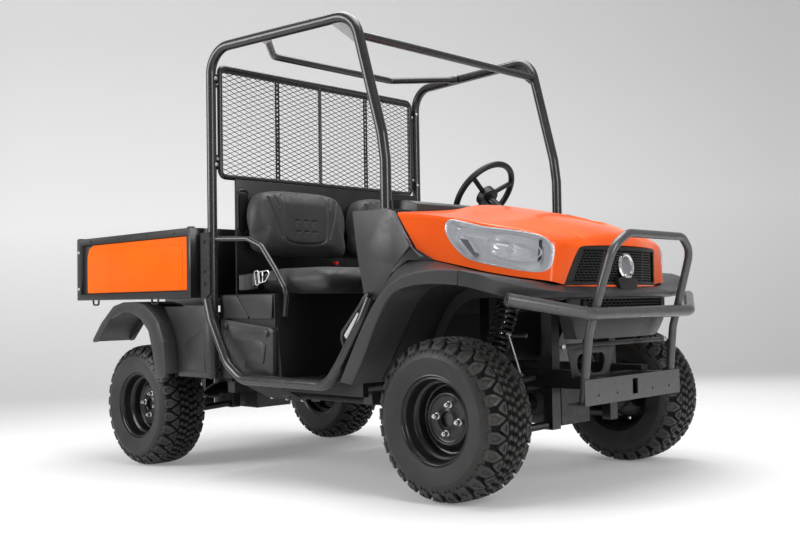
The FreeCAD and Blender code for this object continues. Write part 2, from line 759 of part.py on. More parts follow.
def cowl_side_panels():
    # Shoulder panels beside the dash, each with a collar round the cage's front leg.
    outline = [(dash_rear_x, dash_top_z + 2), (-259, 1107), (-232, 1079), (-139, 958), (-220, 888),
               (-292, 750), (-390, 750), (-430, 930)]
    skin = side_plate(outline, -cowl_half, -cowl_half + panel, 8)
    shelf = block(dash_rear_x + 6, -264, -cowl_half + 2, -dash_half - 2, dash_top_z - panel, dash_top_z)
    leg = vec(cage_front_x, cage_y(cage_front_x), 950)
    collar = rod(leg, leg + up * (dash_top_z + 8 - leg.z), cage_tube / 2 + 12)
    hole = rod(leg - up, leg + up * 200, cage_tube / 2 + joint_gap)
    side = fused([skin, shelf, collar]).cut(hole)
    return [side, mirrored(side)]


# Fenders
def flare_point(angle, radius, y):
    turn = math.radians(angle)
    return vec(radius * math.cos(turn), -y, tyre_radius + radius * math.sin(turn))


def skin_wire(inner, crease, edge, turned_in, outward):
    # Channel section: skin out to its crease, down to its edge and back under.
    inboard = left * flare_wall
    rise = outward * flare_wall
    points = [inner, crease, edge, turned_in, turned_in + rise, edge + inboard + rise,
              crease + inboard - rise, inner - rise]
    return Part.makePolygon(points + points[:1])


def front_fenders():
    # Flares lofted through their sections, from the foot behind the wheel to the nose seam.
    wires = []
    for angle, skin, crease, edge, half in flare_sections:
        wires.append(skin_wire(flare_point(angle, skin, half), flare_point(angle, crease, flare_half),
                               flare_point(angle, edge, flare_half - 4),
                               flare_point(angle, edge + 3, flare_half - flare_turn),
                               (flare_point(angle, edge, 0) - flare_point(angle, 0, 0)).normalize()))
    inner, crease, edge = [vec(flare_seam_x, -y, z) for x, y, z in fascia_sections[0]]
    wires.append(skin_wire(inner, crease, edge, edge + left * flare_turn + up * 3, up))
    fender = Part.makeLoft(wires, True, True)
    return [fender, mirrored(fender)]


def rear_fenders():
    # Moulded arches with an outer band that turns inboard over the wheel.
    outer = [(-360, 552), (-254, 659), (-130, 745), (-31, 765), (65, 766), (159, 752), (222, 720),
             (293, 665), (336, 574), (355, 392)]
    inner = [(271, 388), (237, 523), (202, 621), (130, 680), (36, 712), (-61, 714), (-161, 680), (-295, 560)]
    outer = [(rear_axle_x + x, z) for x, z in outer]
    inner = [(rear_axle_x + x, z) for x, z in inner]
    outboard = cab_half + 100
    band = side_plate(outer + inner, -outboard, -560, 30)
    lip = 14.0
    pocket_outer = [(x, z - lip) for x, z in outer]
    low = min(z for x, z in outer + inner) - 60
    pocket = side_plate(pocket_outer + [(pocket_outer[-1][0], low), (pocket_outer[0][0], low)],
                        -outboard + lip, -561)
    fender = band.cut(pocket)
    return [fender, mirrored(fender)]


def engine_side_panels():
    # Ridged cover between the rear flare and the cage.
    front = cage_rear_x - cage_tube / 2 - joint_gap
    rear = rear_axle_x + 355 - joint_gap
    outline = [(rear, 400), (front, 400), (front, 740), (rear_axle_x + 233, 740),
               (rear_axle_x + 294.5, 666), (rear_axle_x + 337, 574)]
    ridge = [(rear + 40, 440), (front - 30, 425), (front - 60, 620), (rear + 60, 560)]
    outboard = cab_half + 30
    side = fused([side_plate(outline, -outboard, -outboard + panel),
                  side_plate(ridge, -outboard - 4, -outboard + 1)])
    return [side, mirrored(side)]


# Cage and guards
def cage_y(x):
    slope = (cage_rear_half - cage_front_half) / (cage_front_x - cage_rear_x)
    return -cage_rear_half + (x - cage_rear_x) * slope


def cage_point(x, z):
    return vec(x, cage_y(x), z)


def hoop_shape(diameter):
    route = [(cage_rear_x, floor_z - 5), (cage_rear_x, cage_top_z), (cage_roof_front_x, cage_top_z),
             (cage_elbow_x, cage_elbow_z), (cage_front_x, cage_elbow_z - 110), (cage_front_x, 965)]
    return tube([cage_point(x, z) for x, z in route], diameter, cage_bend)


def roof_leg_x(z):
    # Where the slanted front leg of a hoop is at a height.
    share = (cage_top_z - z) / (cage_top_z - cage_elbow_z)
    return cage_roof_front_x + share * (cage_elbow_x - cage_roof_front_x)


def cage_plate(outline, thick):
    # Flat plate in the plane of the right hoop.
    points = [cage_point(x, z) for x, z in outline]
    across = (cage_point(cage_front_x, 0) - cage_point(cage_rear_x, 0)).cross(up).normalize()
    face = Part.Face(Part.makePolygon(points + points[:1]))
    face.translate(across * (-thick / 2))
    return face.extrude(across * thick)


def roof_bend():
    # Start, middle and end of the front bend, on the tube's middle line.
    corner = vec(cage_roof_front_x, 0, cage_top_z)
    down = (vec(cage_elbow_x, 0, cage_elbow_z) - corner).normalize()
    half = down.getAngle(-ahead) / 2
    reach = cage_bend / math.tan(half)
    middle = corner + (down - ahead).normalize() * (cage_bend / math.sin(half) - cage_bend)
    return [(p.x, p.z) for p in (corner - ahead * reach, middle, corner + down * reach)]


def rops_hoops():
    # Each hoop with the gusset in its front bend and the upright plate beside the bed.
    low_z = cage_top_z - gusset_reach
    gusset = cage_plate([(cage_roof_front_x - gusset_reach, cage_top_z)] + roof_bend()
                        + [(roof_leg_x(low_z), low_z)], 6)
    outer = cage_y(cage_rear_x) - cage_tube / 2
    bracket = side_plate([(cage_rear_x - 57, 1084), (cage_rear_x + 16, 1084), (cage_rear_x + 16, 800),
                          (cage_rear_x - 46, 755), (cage_rear_x - 57, 770)], outer - 6, outer + 4)
    hoop = fused([hoop_shape(cage_tube), gusset, bracket])
    return [hoop, mirrored(hoop)]


def rops_crossbars():
    # Bars coped to the hoops that they join.
    front_x = roof_leg_x(cage_top_z - front_bar_drop)
    front_y = -cage_y(front_x)
    front_z = cage_top_z - front_bar_drop
    front = tube([vec(front_x, -front_y, front_z), vec(front_x, front_y, front_z)], crossbar_tube, 10)
    rear_y = -cage_y(rear_bar_joint_x)
    rear = tube([vec(rear_bar_joint_x, -rear_y, cage_top_z), vec(rear_bar_x, -rear_bar_half, cage_top_z),
                 vec(rear_bar_x, rear_bar_half, cage_top_z), vec(rear_bar_joint_x, rear_y, cage_top_z)],
                crossbar_tube, 60)
    cope = hoop_shape(cage_tube + 2 * joint_gap)
    cope = Part.makeCompound([cope, mirrored(cope)])
    return [max(bar.cut(cope).Solids, key=lambda s: s.Volume) for bar in (front, rear)]


def rear_screen():
    x = cage_rear_x
    outline = [vec(x, -screen_half, screen_bottom_z), vec(x, screen_half, screen_bottom_z),
               vec(x, screen_half, screen_top_z), vec(x, -screen_half, screen_top_z)]
    bars = []
    for a, b in zip(outline, outline[1:] + outline[:1]):
        bars.append(rod(a, b, screen_tube / 2))
    for corner in outline:
        bars.append(Part.makeSphere(screen_tube / 2, corner))
    for y in screen_upright_ys:
        bars.append(rod(vec(x, y, screen_bottom_z), vec(x, y, screen_top_z), 8))
    mesh = block(x - 1.5, x + 1.5, -screen_half, screen_half, screen_bottom_z, screen_top_z)
    tabs = []
    for side in (1, -1):
        for z in (screen_bottom_z + tab_inset, screen_top_z - tab_inset):
            reach = sorted((side * screen_half, side * (cage_rear_half - cage_tube / 2 - joint_gap)))
            tabs.append(block(x - 15, x + 15, reach[0], reach[1], z - 20, z + 20))
    return fused(bars + [mesh] + tabs)


def hip_rails():
    route = [(cage_rear_x, 1053), (-1198, 1045), (-1110, 1008), (-1019, 901), (-940, 800),
             (seat_box_front_x - 28, seat_box_top_z - 100)]
    inset = cab_half - 40
    ys = [cage_y(cage_rear_x), -inset - 15, -inset - 5, -inset, -inset, -inset]
    rail = tube([vec(x, y, z) for (x, z), y in zip(route, ys)], 26, 60)
    rail = rail.cut(hoop_shape(cage_tube + 2 * joint_gap)).cut(seat_box_outside())
    rail = max(rail.Solids, key=lambda s: s.Volume)
    return [rail, mirrored(rail)]


def seat_box_outside():
    low = floor_z + floor_plate
    return side_plate([(seat_box_front_x + joint_gap, low),
                       (seat_box_front_x - seat_box_slant + joint_gap, seat_box_top_z),
                       (seat_box_rear_x, seat_box_top_z), (seat_box_rear_x, low)], -cab_half, cab_half)


def side_guards():
    # Tube guard along each side under the door, coped to the rear post, on stub feet.
    route = [(-1400, 768), (-1354, 671), (-1234, 475), (-1130, 411), (-560, 411), (-483, 497),
             (-363, 673), (-330, 762)]
    out = cab_half + 65
    ys = [-out + 10, -out, -out, -out, -out, -out, -out + 10, -out + 28]
    guard = tube([vec(x, y, z) for (x, z), y in zip(route, ys)], cage_tube, 110)
    feet = [rod(vec(x, -out, 411), vec(x, -cab_half - joint_gap, 411), 12) for x in (-1000, -620)]
    guard = fused([guard] + feet).cut(hoop_shape(cage_tube + 2 * joint_gap))
    guard = max(guard.Solids, key=lambda s: s.Volume)
    return [guard, mirrored(guard)]


def front_bumper():
    # Bent bar with closed ends, upright hoop, and the slotted plate on its shelf.
    bar = tube([vec(bumper_end_x, -bumper_end_half, bumper_end_z), vec(bumper_x, -bumper_half, bumper_z),
                vec(bumper_x, bumper_half, bumper_z), vec(bumper_end_x, bumper_end_half, bumper_end_z)],
               bumper_tube, 110)
    guard = [(guard_plate_x - 28, -316, guard_plate_low_z - 4), (406, -311, bumper_z - 67),
             (502, -292, hoop_top_z - 55), (hoop_top_x, -hoop_top_half, hoop_top_z)]
    near = [vec(*place) for place in guard]
    far = [vec(p.x, -p.y, p.z) for p in reversed(near)]
    hoop = tube(near + far, hoop_tube, 90)
    plate = block(guard_plate_x, guard_plate_x + 6, -guard_plate_half, guard_plate_half,
                  guard_plate_low_z, guard_plate_high_z)
    slot = block(guard_plate_x - 1, guard_plate_x + 7, -20, 20, guard_plate_low_z + 15, guard_plate_low_z + 75)
    holes = [Part.makeCylinder(plate_hole_radius, 8, vec(guard_plate_x - 1, y, guard_plate_low_z + 28), ahead)
             for y in plate_hole_ys]
    shelf_low = guard_plate_low_z - 6
    shelf = block(rail_front_x, guard_plate_x + 6, -guard_plate_half, guard_plate_half, shelf_low, shelf_low + 6)
    feet = []
    for side in (1, -1):
        near, far = sorted((side * rail_inner(), side * rail_half))
        feet.append(block(rail_front_x + joint_gap, guard_plate_x + 6, near, far, shelf_low, guard_plate_high_z))
    return fused([bar, hoop, plate, shelf] + feet).cut(Part.makeCompound(holes + [slot]))


# Nose
def plan_arc(side_x, tip_x, half):
    # Bowed front line seen from above.
    return Part.Arc(vec(side_x, -half, 0), vec(tip_x, 0, 0), vec(side_x, half, 0)).toShape()


def bowed_band(side_x, tip_x, half, thick, low_z, high_z):
    # Upright band that follows a bowed front line.
    front = plan_arc(side_x, tip_x, half)
    back = plan_arc(side_x - thick, tip_x - thick, half)
    ends = [Part.makeLine(vec(side_x, way * half, 0), vec(side_x - thick, way * half, 0)) for way in (1, -1)]
    face = Part.Face(Part.Wire(Part.__sortEdges__([front, back] + ends)))
    face.translate(up * low_z)
    return face.extrude(up * (high_z - low_z))


def nose_fascia():
    # Lip that wraps the nose, and a chin below it with the barred intake.
    wires = []
    stations = [[vec(x, -y, z) for x, y, z in station] for station in fascia_sections]
    stations[0] = [p + ahead * joint_gap for p in stations[0]]
    stations += [[vec(p.x, -p.y, p.z) for p in station] for station in reversed(stations[:-1])]
    for inner, crease, lip in stations:
        inward = (vec(inner.x, inner.y, 0) - vec(crease.x, crease.y, 0)).normalize() * fascia_wall
        below = up * fascia_wall
        points = [inner, crease, lip, lip + inward, crease + inward - below, inner - below]
        wires.append(Part.makePolygon(points + points[:1]))
    lip = Part.makeLoft(wires, True, True)
    lip_low = fascia_sections[-1][2][2]
    chin = bowed_band(chin_side_x, chin_tip_x, chin_half, panel, chin_low_z, lip_low + 12)
    trim = front_plate([(-chin_half - 1, lip_low + 13), (-chin_half - 1, intake_low_z - 20),
                        (-chin_half + 60, chin_low_z),
                        (chin_half - 60, chin_low_z), (chin_half + 1, intake_low_z - 20),
                        (chin_half + 1, lip_low + 13)], nose_corner_x, nose_corner_x + 100)
    intake = front_plate(rect_outline(-intake_half, intake_half, intake_low_z, intake_high_z),
                         nose_corner_x, nose_corner_x + 100, 14)
    bars = []
    pitch = 2 * intake_half / (intake_bars + 1)
    for k in range(intake_bars):
        y = -intake_half + pitch * (k + 1)
        bars.append(block(nose_corner_x, nose_corner_x + 100, y - 5, y + 5, intake_low_z - 2, intake_high_z + 2))
    middle_z = (intake_low_z + intake_high_z) / 2
    bars.append(block(nose_corner_x, nose_corner_x + 100, -intake_half - 2, intake_half + 2,
                      middle_z - 4, middle_z + 4))
    lattice = bowed_band(chin_side_x - 3, chin_tip_x - 3, chin_half, panel - 5,
                         intake_low_z - 2, intake_high_z + 2)
    lattice = lattice.common(Part.makeCompound(bars))
    return fused([lip, chin.common(trim).cut(intake), lattice])


# Hood
def hood_section(x, inset, low):
    # Domed plateau, slopes, shoulders and leaning sides, closed along the bottom.
    for rear, ahead_of in zip(hood_sections, hood_sections[1:]):
        if rear[0] <= x <= ahead_of[0]:
            share = (x - rear[0]) / (ahead_of[0] - rear[0])
            break
    mix = lambda a, b: a + (b - a) * share
    top = mix(rear[1], ahead_of[1]) - inset
    edge, foot, crease = [(mix(a[0], b[0]) - drop * inset, mix(a[1], b[1]) - inset)
                          for a, b, drop in zip(rear[2:], ahead_of[2:], (0, 0, 1))]
    base = (crease[0] + hood_side_lean * (crease[1] - low), low)
    right = [vec(x, -y, z) for y, z in (edge, foot, crease, base)]
    other = [vec(p.x, -p.y, p.z) for p in right]
    edges = [Part.Arc(right[0], vec(x, 0, top), other[0]).toShape()]
    for run in (other, right):
        edges += [Part.makeLine(a, b) for a, b in zip(run, run[1:])]
    edges.append(Part.makeLine(right[-1], other[-1]))
    return Part.Wire(Part.__sortEdges__(edges))


def hood_front(inset):
    # Plan outline whose front is the bowed nose.
    corner, knee, tip = nose_corner_x - inset, nose_knee_x - inset, nose_tip_x - inset
    side = hood_sections[0][4][0] + 60
    edges = [Part.makeLine(vec(-400, -side, 0), vec(corner, -side, 0)),
             Part.makeLine(vec(corner, -side, 0), vec(corner, -nose_knee_half - 80, 0)),
             Part.makeLine(vec(corner, -nose_knee_half - 80, 0), vec(knee, -nose_knee_half, 0)),
             Part.Arc(vec(knee, -nose_knee_half, 0), vec(tip, 0, 0), vec(knee, nose_knee_half, 0)).toShape(),
             Part.makeLine(vec(knee, nose_knee_half, 0), vec(corner, nose_knee_half + 80, 0)),
             Part.makeLine(vec(corner, nose_knee_half + 80, 0), vec(corner, side, 0)),
             Part.makeLine(vec(corner, side, 0), vec(-400, side, 0)),
             Part.makeLine(vec(-400, side, 0), vec(-400, -side, 0))]
    face = Part.Face(Part.Wire(edges))
    face.translate(up * 700)
    return face.extrude(up * 600)


def hood_solid(inset, rear_inset=0.0):
    low = 760.0
    xs = [station[0] for station in hood_sections]
    xs[0] += rear_inset
    loft = Part.makeLoft([hood_section(x, inset, low) for x in xs], True, False)
    return loft.common(hood_front(inset))


def hood_outside():
    # The hood as a block, trimmed along its side's lower edge.
    trim = side_plate([(hood_rear_x - 1, 1300)] + list(hood_edge) + [(500, hood_edge[-1][1]), (500, 1300)],
                      -800, 800)
    return hood_solid(0).common(trim)


def recess_zone(inset):
    half = recess_half + inset
    return plan_plate([(recess_rear_x - inset, -half), (600, -half), (600, half), (recess_rear_x - inset, half)],
                      grille_high_z, 1300, recess_corner)


def lowered(shape, drop):
    copy = shape.copy()
    copy.translate(up * -drop)
    return copy


def hood_panel():
    # Shell with the sunken middle panel, open below, at the grille and at both lamps.
    outside = hood_outside()
    sunk = outside.cut(recess_zone(0).cut(lowered(outside, hood_recess)))
    inside = hood_solid(hood_wall, hood_wall)
    inside = inside.cut(recess_zone(hood_wall).cut(lowered(outside, hood_recess + hood_wall)))
    shell = sunk.cut(inside).cut(grille_window(0, 200, 600))
    for side in (1, -1):
        shell = shell.cut(lamp_prism(side, 0, 200))
    shell = max(shell.Solids, key=lambda s: s.Volume)
    lugs = []
    for y in (-hood_hinge_y, hood_hinge_y):
        arm = block(hood_hinge_x, hood_rear_x + hood_wall, y - hinge_lug / 2, y + hinge_lug / 2,
                    hood_hinge_z - hinge_lug_radius, hood_hinge_z + hinge_lug_radius)
        eye = disc(hood_hinge_x, y, hood_hinge_z, hinge_lug_radius, hinge_lug)
        bore = disc(hood_hinge_x, y, hood_hinge_z, hinge_pin_radius + pin_play, 2 * hinge_lug)
        lugs.append(fused([arm, eye]).cut(bore))
    return fused([shell] + lugs)


def lamp_frame(side):
    # Directions along, up and out of the hood's side at the lamp.
    out = vec(0.503, side * 0.857, 0.115).normalize()
    along = vec(499, -side * 292, 0).normalize()
    rise = out.cross(along) if side < 0 else along.cross(out)
    return vec(lamp_middle[0], side * lamp_middle[1], lamp_middle[2]), along, rise.normalize(), out


def lamp_prism(side, inset, depth):
    middle, along, rise, out = lamp_frame(side)
    reach = [math.hypot(a, b) for a, b in lamp_outline]
    points = [middle + (along * a + rise * b) * ((r - inset) / r) + out * 60
              for (a, b), r in zip(lamp_outline, reach)]
    normal = out.normalize()
    flat = [p - normal * ((p - points[0]).dot(normal)) for p in points]
    return Part.Face(rounded(flat, lamp_corner, True)).extrude(out * (-60 - depth))


def headlamps():
    # Lens and housing that fill the hood's lamp openings.
    lamps = []
    outside = hood_solid(1.5)
    inside = hood_solid(lamp_depth)
    for side in (1, -1):
        lens = outside.common(lamp_prism(side, joint_gap, 200)).cut(inside)
        lens = lens.cut(grille_window(4, 200, 600))
        lamps.append(max(lens.Solids, key=lambda s: s.Volume))
    return lamps


def grille_window(margin, rear_x, front_x):
    # Trapezoid opening in the nose, grown by a margin.
    return front_plate([(-grille_half_low - margin, grille_low_z - 60),
                        (grille_half_low + margin, grille_low_z - 60),
                        (grille_half_low + margin, grille_low_z),
                        (grille_half_high + margin, grille_high_z + margin),
                        (-grille_half_high - margin, grille_high_z + margin),
                        (-grille_half_low - margin, grille_low_z)], rear_x, front_x)


def grille():
    # Bowed frame with rows of staggered slots, and a plain round boss in its middle.
    low, high = grille_low_z, grille_high_z - joint_gap
    tip = nose_tip_x - 4
    side_x = nose_knee_x - 14
    half = grille_half_low - joint_gap
    band = bowed_band(side_x, tip, half, grille_thick, low, high)
    top_half = grille_half_high - joint_gap
    trapezoid = front_plate([(-half, low), (half, low), (top_half, high), (-top_half, high)], 200, 600)
    band = band.common(trapezoid)
    pitch_z = (high - low - 2 * grille_frame) / grille_rows
    field = top_half - grille_frame
    pitch_y = 2 * field / grille_columns
    slots = []
    for row in range(grille_rows):
        z = low + grille_frame + pitch_z * row
        shift = 0.5 * (row % 2)
        for k in range(grille_columns - row % 2):
            y = -field + pitch_y * (k + shift)
            if math.hypot(y + pitch_y / 2, z + pitch_z / 2 - (low + high) / 2) > disc_boss_radius + pitch_y / 2:
                slots.append(block(side_x - 60, tip + 20, y + grille_bar / 2, y + pitch_y - grille_bar / 2,
                                   z + grille_bar / 2, z + pitch_z - grille_bar / 2))
    boss = rod(vec(tip - grille_thick, 0, (low + high) / 2), vec(tip + 4, 0, (low + high) / 2), disc_boss_radius)
    return fused([band.cut(Part.makeCompound(slots)), boss])


# Cargo bed
def bed_tub():
    # Floor, front wall, posts and top rails, with the beams and ears below.
    front_x = bed_rear_x + bed_length
    floor_top = bed_floor_z + bed_floor_plate
    top = floor_top + bed_depth
    inner_half = bed_half - bed_wall - joint_gap
    pieces = [block(bed_rear_x + tailgate_wall + 2, front_x, -bed_half, bed_half,
                    bed_floor_z, floor_top - bed_ledge),
              block(bed_rear_x + tailgate_wall + 2, front_x - bed_wall, -inner_half, inner_half,
                    bed_floor_z, floor_top),
              block(front_x - bed_wall, front_x, -bed_half, bed_half, bed_floor_z, top)]
    x, z = tailgate_axis()
    for side in (1, -1):
        near, far = sorted((side * (bed_half - bed_wall), side * bed_half))
        post = block(bed_rear_x + 2, bed_rear_x + 2 + bed_post, near, far, bed_floor_z, top)
        bore = rod(vec(x, side * (bed_half - 5), z), vec(x, side * (bed_half - bed_wall - 1), z), 8 + pin_play)
        pieces.append(post.cut(bore))
        pieces.append(block(bed_rear_x + 2, front_x, near, far, top - bed_rail_height, top))
        near, far = sorted((side * (bed_beam_half - 25), side * (bed_beam_half + 25)))
        pieces.append(block(bed_hinge_x - 30, front_x - 60, near, far, bed_floor_z - 40, bed_floor_z))
        ear = block(bed_hinge_x - 22, bed_hinge_x + 22, near, far, bed_hinge_z - 20, bed_floor_z)
        pin_hole = disc(bed_hinge_x, side * bed_beam_half, bed_hinge_z, lift_pin_radius + pin_play, 80)
        pieces.append(ear.cut(pin_hole))
        near, far = sorted((lift_y + side * 18, lift_y + side * 30))
        pieces.append(block(lift_eye_x - 24, lift_eye_x + 24, near, far, lift_eye_z - 22, bed_floor_z))
        pieces += bed_hooks(side)
    return fused(pieces)


def bed_hooks(side):
    # Bent rods under the edge for ropes.
    hooks = []
    y = side * (bed_half - 14)
    for x in (bed_rear_x + 150, bed_rear_x + bed_length - 360):
        low = bed_floor_z - 26
        hooks.append(tube([vec(x, y, bed_floor_z + 4), vec(x + 4, y, low), vec(x + 56, y, low),
                           vec(x + 60, y, bed_floor_z + 4)], 10, 12))
    return hooks


def bed_sides():
    # Painted panels framed by the posts and rails, with a shallow raised field.
    low = bed_floor_z + bed_floor_plate - bed_ledge
    high = bed_floor_z + bed_floor_plate + bed_depth - bed_rail_height - joint_gap
    rear = bed_rear_x + 2 + bed_post + joint_gap
    front = bed_rear_x + bed_length - bed_wall - joint_gap
    outer = bed_half - 6
    side = block(rear, front, -outer, -bed_half + bed_wall, low, high)
    field = side_plate([(rear + 50, low + 30), (front - 40, low + 40), (front - 40, high - 50),
                        (rear + 90, high - 30)],
                       -outer - panel_emboss, -outer + 1, 20)
    side = fused([side, field])
    return [side, mirrored(side)]


def tailgate_axis():
    return bed_rear_x + tailgate_wall / 2, bed_floor_z + bed_floor_plate + 16


def tailgate():
    # Gate with pressed channels on its outer face, on two pins.
    x, z = tailgate_axis()
    half = bed_half - bed_wall - 5
    low, high = z - 12, z - 12 + tailgate_height
    gate = block(bed_rear_x, bed_rear_x + tailgate_wall, -half, half, low, high)
    channels = [block(bed_rear_x - 1, bed_rear_x + 8, y - half / 4, y + half / 4, low + 50, high - 40)
                for y in (-half * 0.62, 0, half * 0.62)]
    pins = [rod(vec(x, side * (half - 10), z), vec(x, side * (half + 20), z), 8) for side in (1, -1)]
    return fused([gate.cut(Part.makeCompound(channels))] + pins)


def bed_pivots():
    # Posts on the rails' rear ends, each with a boss and the pin that carries the bed.
    pins = []
    for side in (1, -1):
        near, far = sorted((side * rail_inner(), side * rail_half))
        post = block(rail_rear_x, rail_rear_x + member_width, near, far,
                     rail_rear_low_z + rail_height, bed_hinge_z + 40)
        near, far = sorted((side * rail_half, side * 286))
        boss = block(bed_hinge_x - 30, bed_hinge_x + 20, near, far, bed_hinge_z - 60, bed_hinge_z + 18)
        pin = rod(vec(bed_hinge_x, side * 240, bed_hinge_z), vec(bed_hinge_x, side * 342, bed_hinge_z),
                  lift_pin_radius)
        pins.append(fused([post, boss, pin]))
    return pins


# Lift cylinder
def lift_point(distance):
    base = vec(lift_base_x, lift_y, lift_base_z)
    eye = vec(lift_eye_x, lift_y, lift_eye_z)
    return base + (eye - base).normalize() * distance


def lift_length():
    return (lift_point(0) - vec(lift_eye_x, lift_y, lift_eye_z)).Length


def lift_barrel():
    body = rod(lift_point(24), lift_point(lift_length() - 40), lift_barrel_radius)
    eye = disc(lift_base_x, lift_y, lift_base_z, 26, 30)
    bore = disc(lift_base_x, lift_y, lift_base_z, lift_pin_radius + 0.05, 60)
    chamber = rod(lift_point(50), lift_point(lift_length()), lift_rod_radius + 0.05)
    return fused([body, eye]).cut(Part.makeCompound([bore, chamber]))


def lift_rod():
    body = rod(lift_point(54), lift_point(lift_length() - 12), lift_rod_radius)
    eye = disc(lift_eye_x, lift_y, lift_eye_z, 22, 28)
    pin = disc(lift_eye_x, lift_y, lift_eye_z, lift_pin_radius, 36 - 2 * joint_gap)
    return fused([body, eye, pin])


def as_list(made):
    return made if isinstance(made, list) else [made]


# Every piece, level, with whether the body's stance applies to it.
def all_pieces():
    pieces = {}
    lean = body_placement.toMatrix()
    for name, maker in (
            ("frame_rails", frame_rails), ("frame_members", frame_members),
            ("hitch_receiver", hitch_receiver), ("suspension_towers", suspension_towers),
            ("lift_mount", lift_mount), ("engine", engine), ("muffler", muffler),
            ("drive_casings", drive_casings), ("bed_pivots", bed_pivots),
            ("steering_gear", steering_gear), ("floor_pan", floor_pan),
            ("seat_box", seat_box), ("service_doors", service_doors), ("seat_cushions", seat_cushions),
            ("seat_backs", seat_backs), ("cab_rear_wall", cab_rear_wall), ("dashboard", dashboard),
            ("cowl_side_panels", cowl_side_panels), ("front_fenders", front_fenders),
            ("rear_fenders", rear_fenders), ("engine_side_panels", engine_side_panels),
            ("rops_hoops", rops_hoops), ("rops_crossbars", rops_crossbars), ("rear_screen", rear_screen),
            ("hip_rails", hip_rails), ("side_guards", side_guards), ("front_bumper", front_bumper),
            ("nose_fascia", nose_fascia), ("hood_panel", hood_panel), ("headlamps", headlamps),
            ("grille", grille), ("steering_wheel", steering_wheel), ("bed_tub", bed_tub),
            ("bed_sides", bed_sides), ("tailgate", tailgate), ("lift_barrel", lift_barrel),
            ("lift_rod", lift_rod)):
        pieces[name] = Part.makeCompound(as_list(maker())).transformed(lean)
    pieces["drive_shafts"] = Part.makeCompound(drive_shafts())
    pieces["coil_dampers"] = Part.makeCompound(coil_dampers())
    pieces["suspension_arms"] = Part.makeCompound(suspension_arms())
    for end, x, track in (("front", 0, front_track), ("rear", rear_axle_x, rear_track)):
        for name, side in (("left", 1), ("right", -1)):
            pieces["tyre_" + end + "_" + name] = tyre(x, side * track / 2)
            pieces["rim_" + end + "_" + name] = rim(x, side * track / 2, side)
    pieces["knuckle_left"] = knuckle(1)
    pieces["knuckle_right"] = knuckle(-1)
    pieces["tie_rod_left"] = tie_rod(1)
    pieces["tie_rod_right"] = tie_rod(-1)
    return pieces


def main():
    os.makedirs("parts", exist_ok=True)
    pieces = all_pieces()
    box = Part.makeCompound(list(pieces.values())).optimalBoundingBox(False)
    shift = vec(-(box.XMin + box.XMax) / 2, 0, 0)
    print("front axle at x =", round(shift.x, 2), "length", round(box.XLength, 1),
          "width", round(box.YLength, 1), "height", round(box.ZMax, 1))
    for name, shape in pieces.items():
        shape.translate(shift)
        shape.exportStep("parts/" + name + ".step")


main()
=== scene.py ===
import bpy
import bmesh
import math
from mathutils import Matrix, Vector
from mathutils.kdtree import KDTree


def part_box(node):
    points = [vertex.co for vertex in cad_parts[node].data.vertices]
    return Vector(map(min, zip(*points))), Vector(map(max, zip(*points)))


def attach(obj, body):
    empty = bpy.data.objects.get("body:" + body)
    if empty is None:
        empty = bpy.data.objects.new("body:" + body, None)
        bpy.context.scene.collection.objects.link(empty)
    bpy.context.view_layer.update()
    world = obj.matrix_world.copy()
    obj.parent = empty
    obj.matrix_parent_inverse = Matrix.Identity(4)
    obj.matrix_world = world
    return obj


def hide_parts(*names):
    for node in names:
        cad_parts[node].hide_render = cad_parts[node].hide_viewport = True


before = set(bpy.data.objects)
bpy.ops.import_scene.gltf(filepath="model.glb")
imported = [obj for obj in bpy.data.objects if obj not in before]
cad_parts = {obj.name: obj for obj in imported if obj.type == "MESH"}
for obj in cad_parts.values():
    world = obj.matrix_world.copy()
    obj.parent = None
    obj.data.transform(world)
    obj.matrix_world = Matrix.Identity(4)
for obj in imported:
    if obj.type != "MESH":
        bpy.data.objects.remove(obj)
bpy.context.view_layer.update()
print("frame loaded,", len(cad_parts), "nodes")

# Lengths in this script are millimetres on the level body: x ahead of the front axle,
# y to the left, z above the ground. bodyFrame leans and scales them into the frame.
stance = {"leanDegrees": 1.9, "scale": 0.001}


def boxCentre(node):
    low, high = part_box(node)
    return (low + high) / 2


axle = boxCentre("tyre_front_left")
axleLift = Matrix.Translation((0, 0, -axle.z / stance["scale"]))
levelFrame = Matrix.Translation((axle.x, 0, 0)) @ Matrix.Scale(stance["scale"], 4)
bodyFrame = (Matrix.Translation((axle.x, 0, axle.z))
             @ Matrix.Rotation(math.radians(stance["leanDegrees"]), 4, "Y")
             @ Matrix.Scale(stance["scale"], 4) @ axleLift)


# Shader maths: an expression on wrapped sockets adds its own nodes.
class Wire:
    def __init__(self, tree, out):
        self.tree = tree
        self.out = out

    def maths(self, operation, other):
        made = self.tree.nodes.new("ShaderNodeMath")
        made.operation = operation
        for i, value in enumerate((self, other)):
            if isinstance(value, Wire):
                self.tree.links.new(value.out, made.inputs[i])
            else:
                made.inputs[i].default_value = value
        return Wire(self.tree, made.outputs[0])

    def __add__(self, other):
        return self.maths("ADD", other)

    def __mul__(self, other):
        return self.maths("MULTIPLY", other)

    __radd__ = __add__
    __rmul__ = __mul__


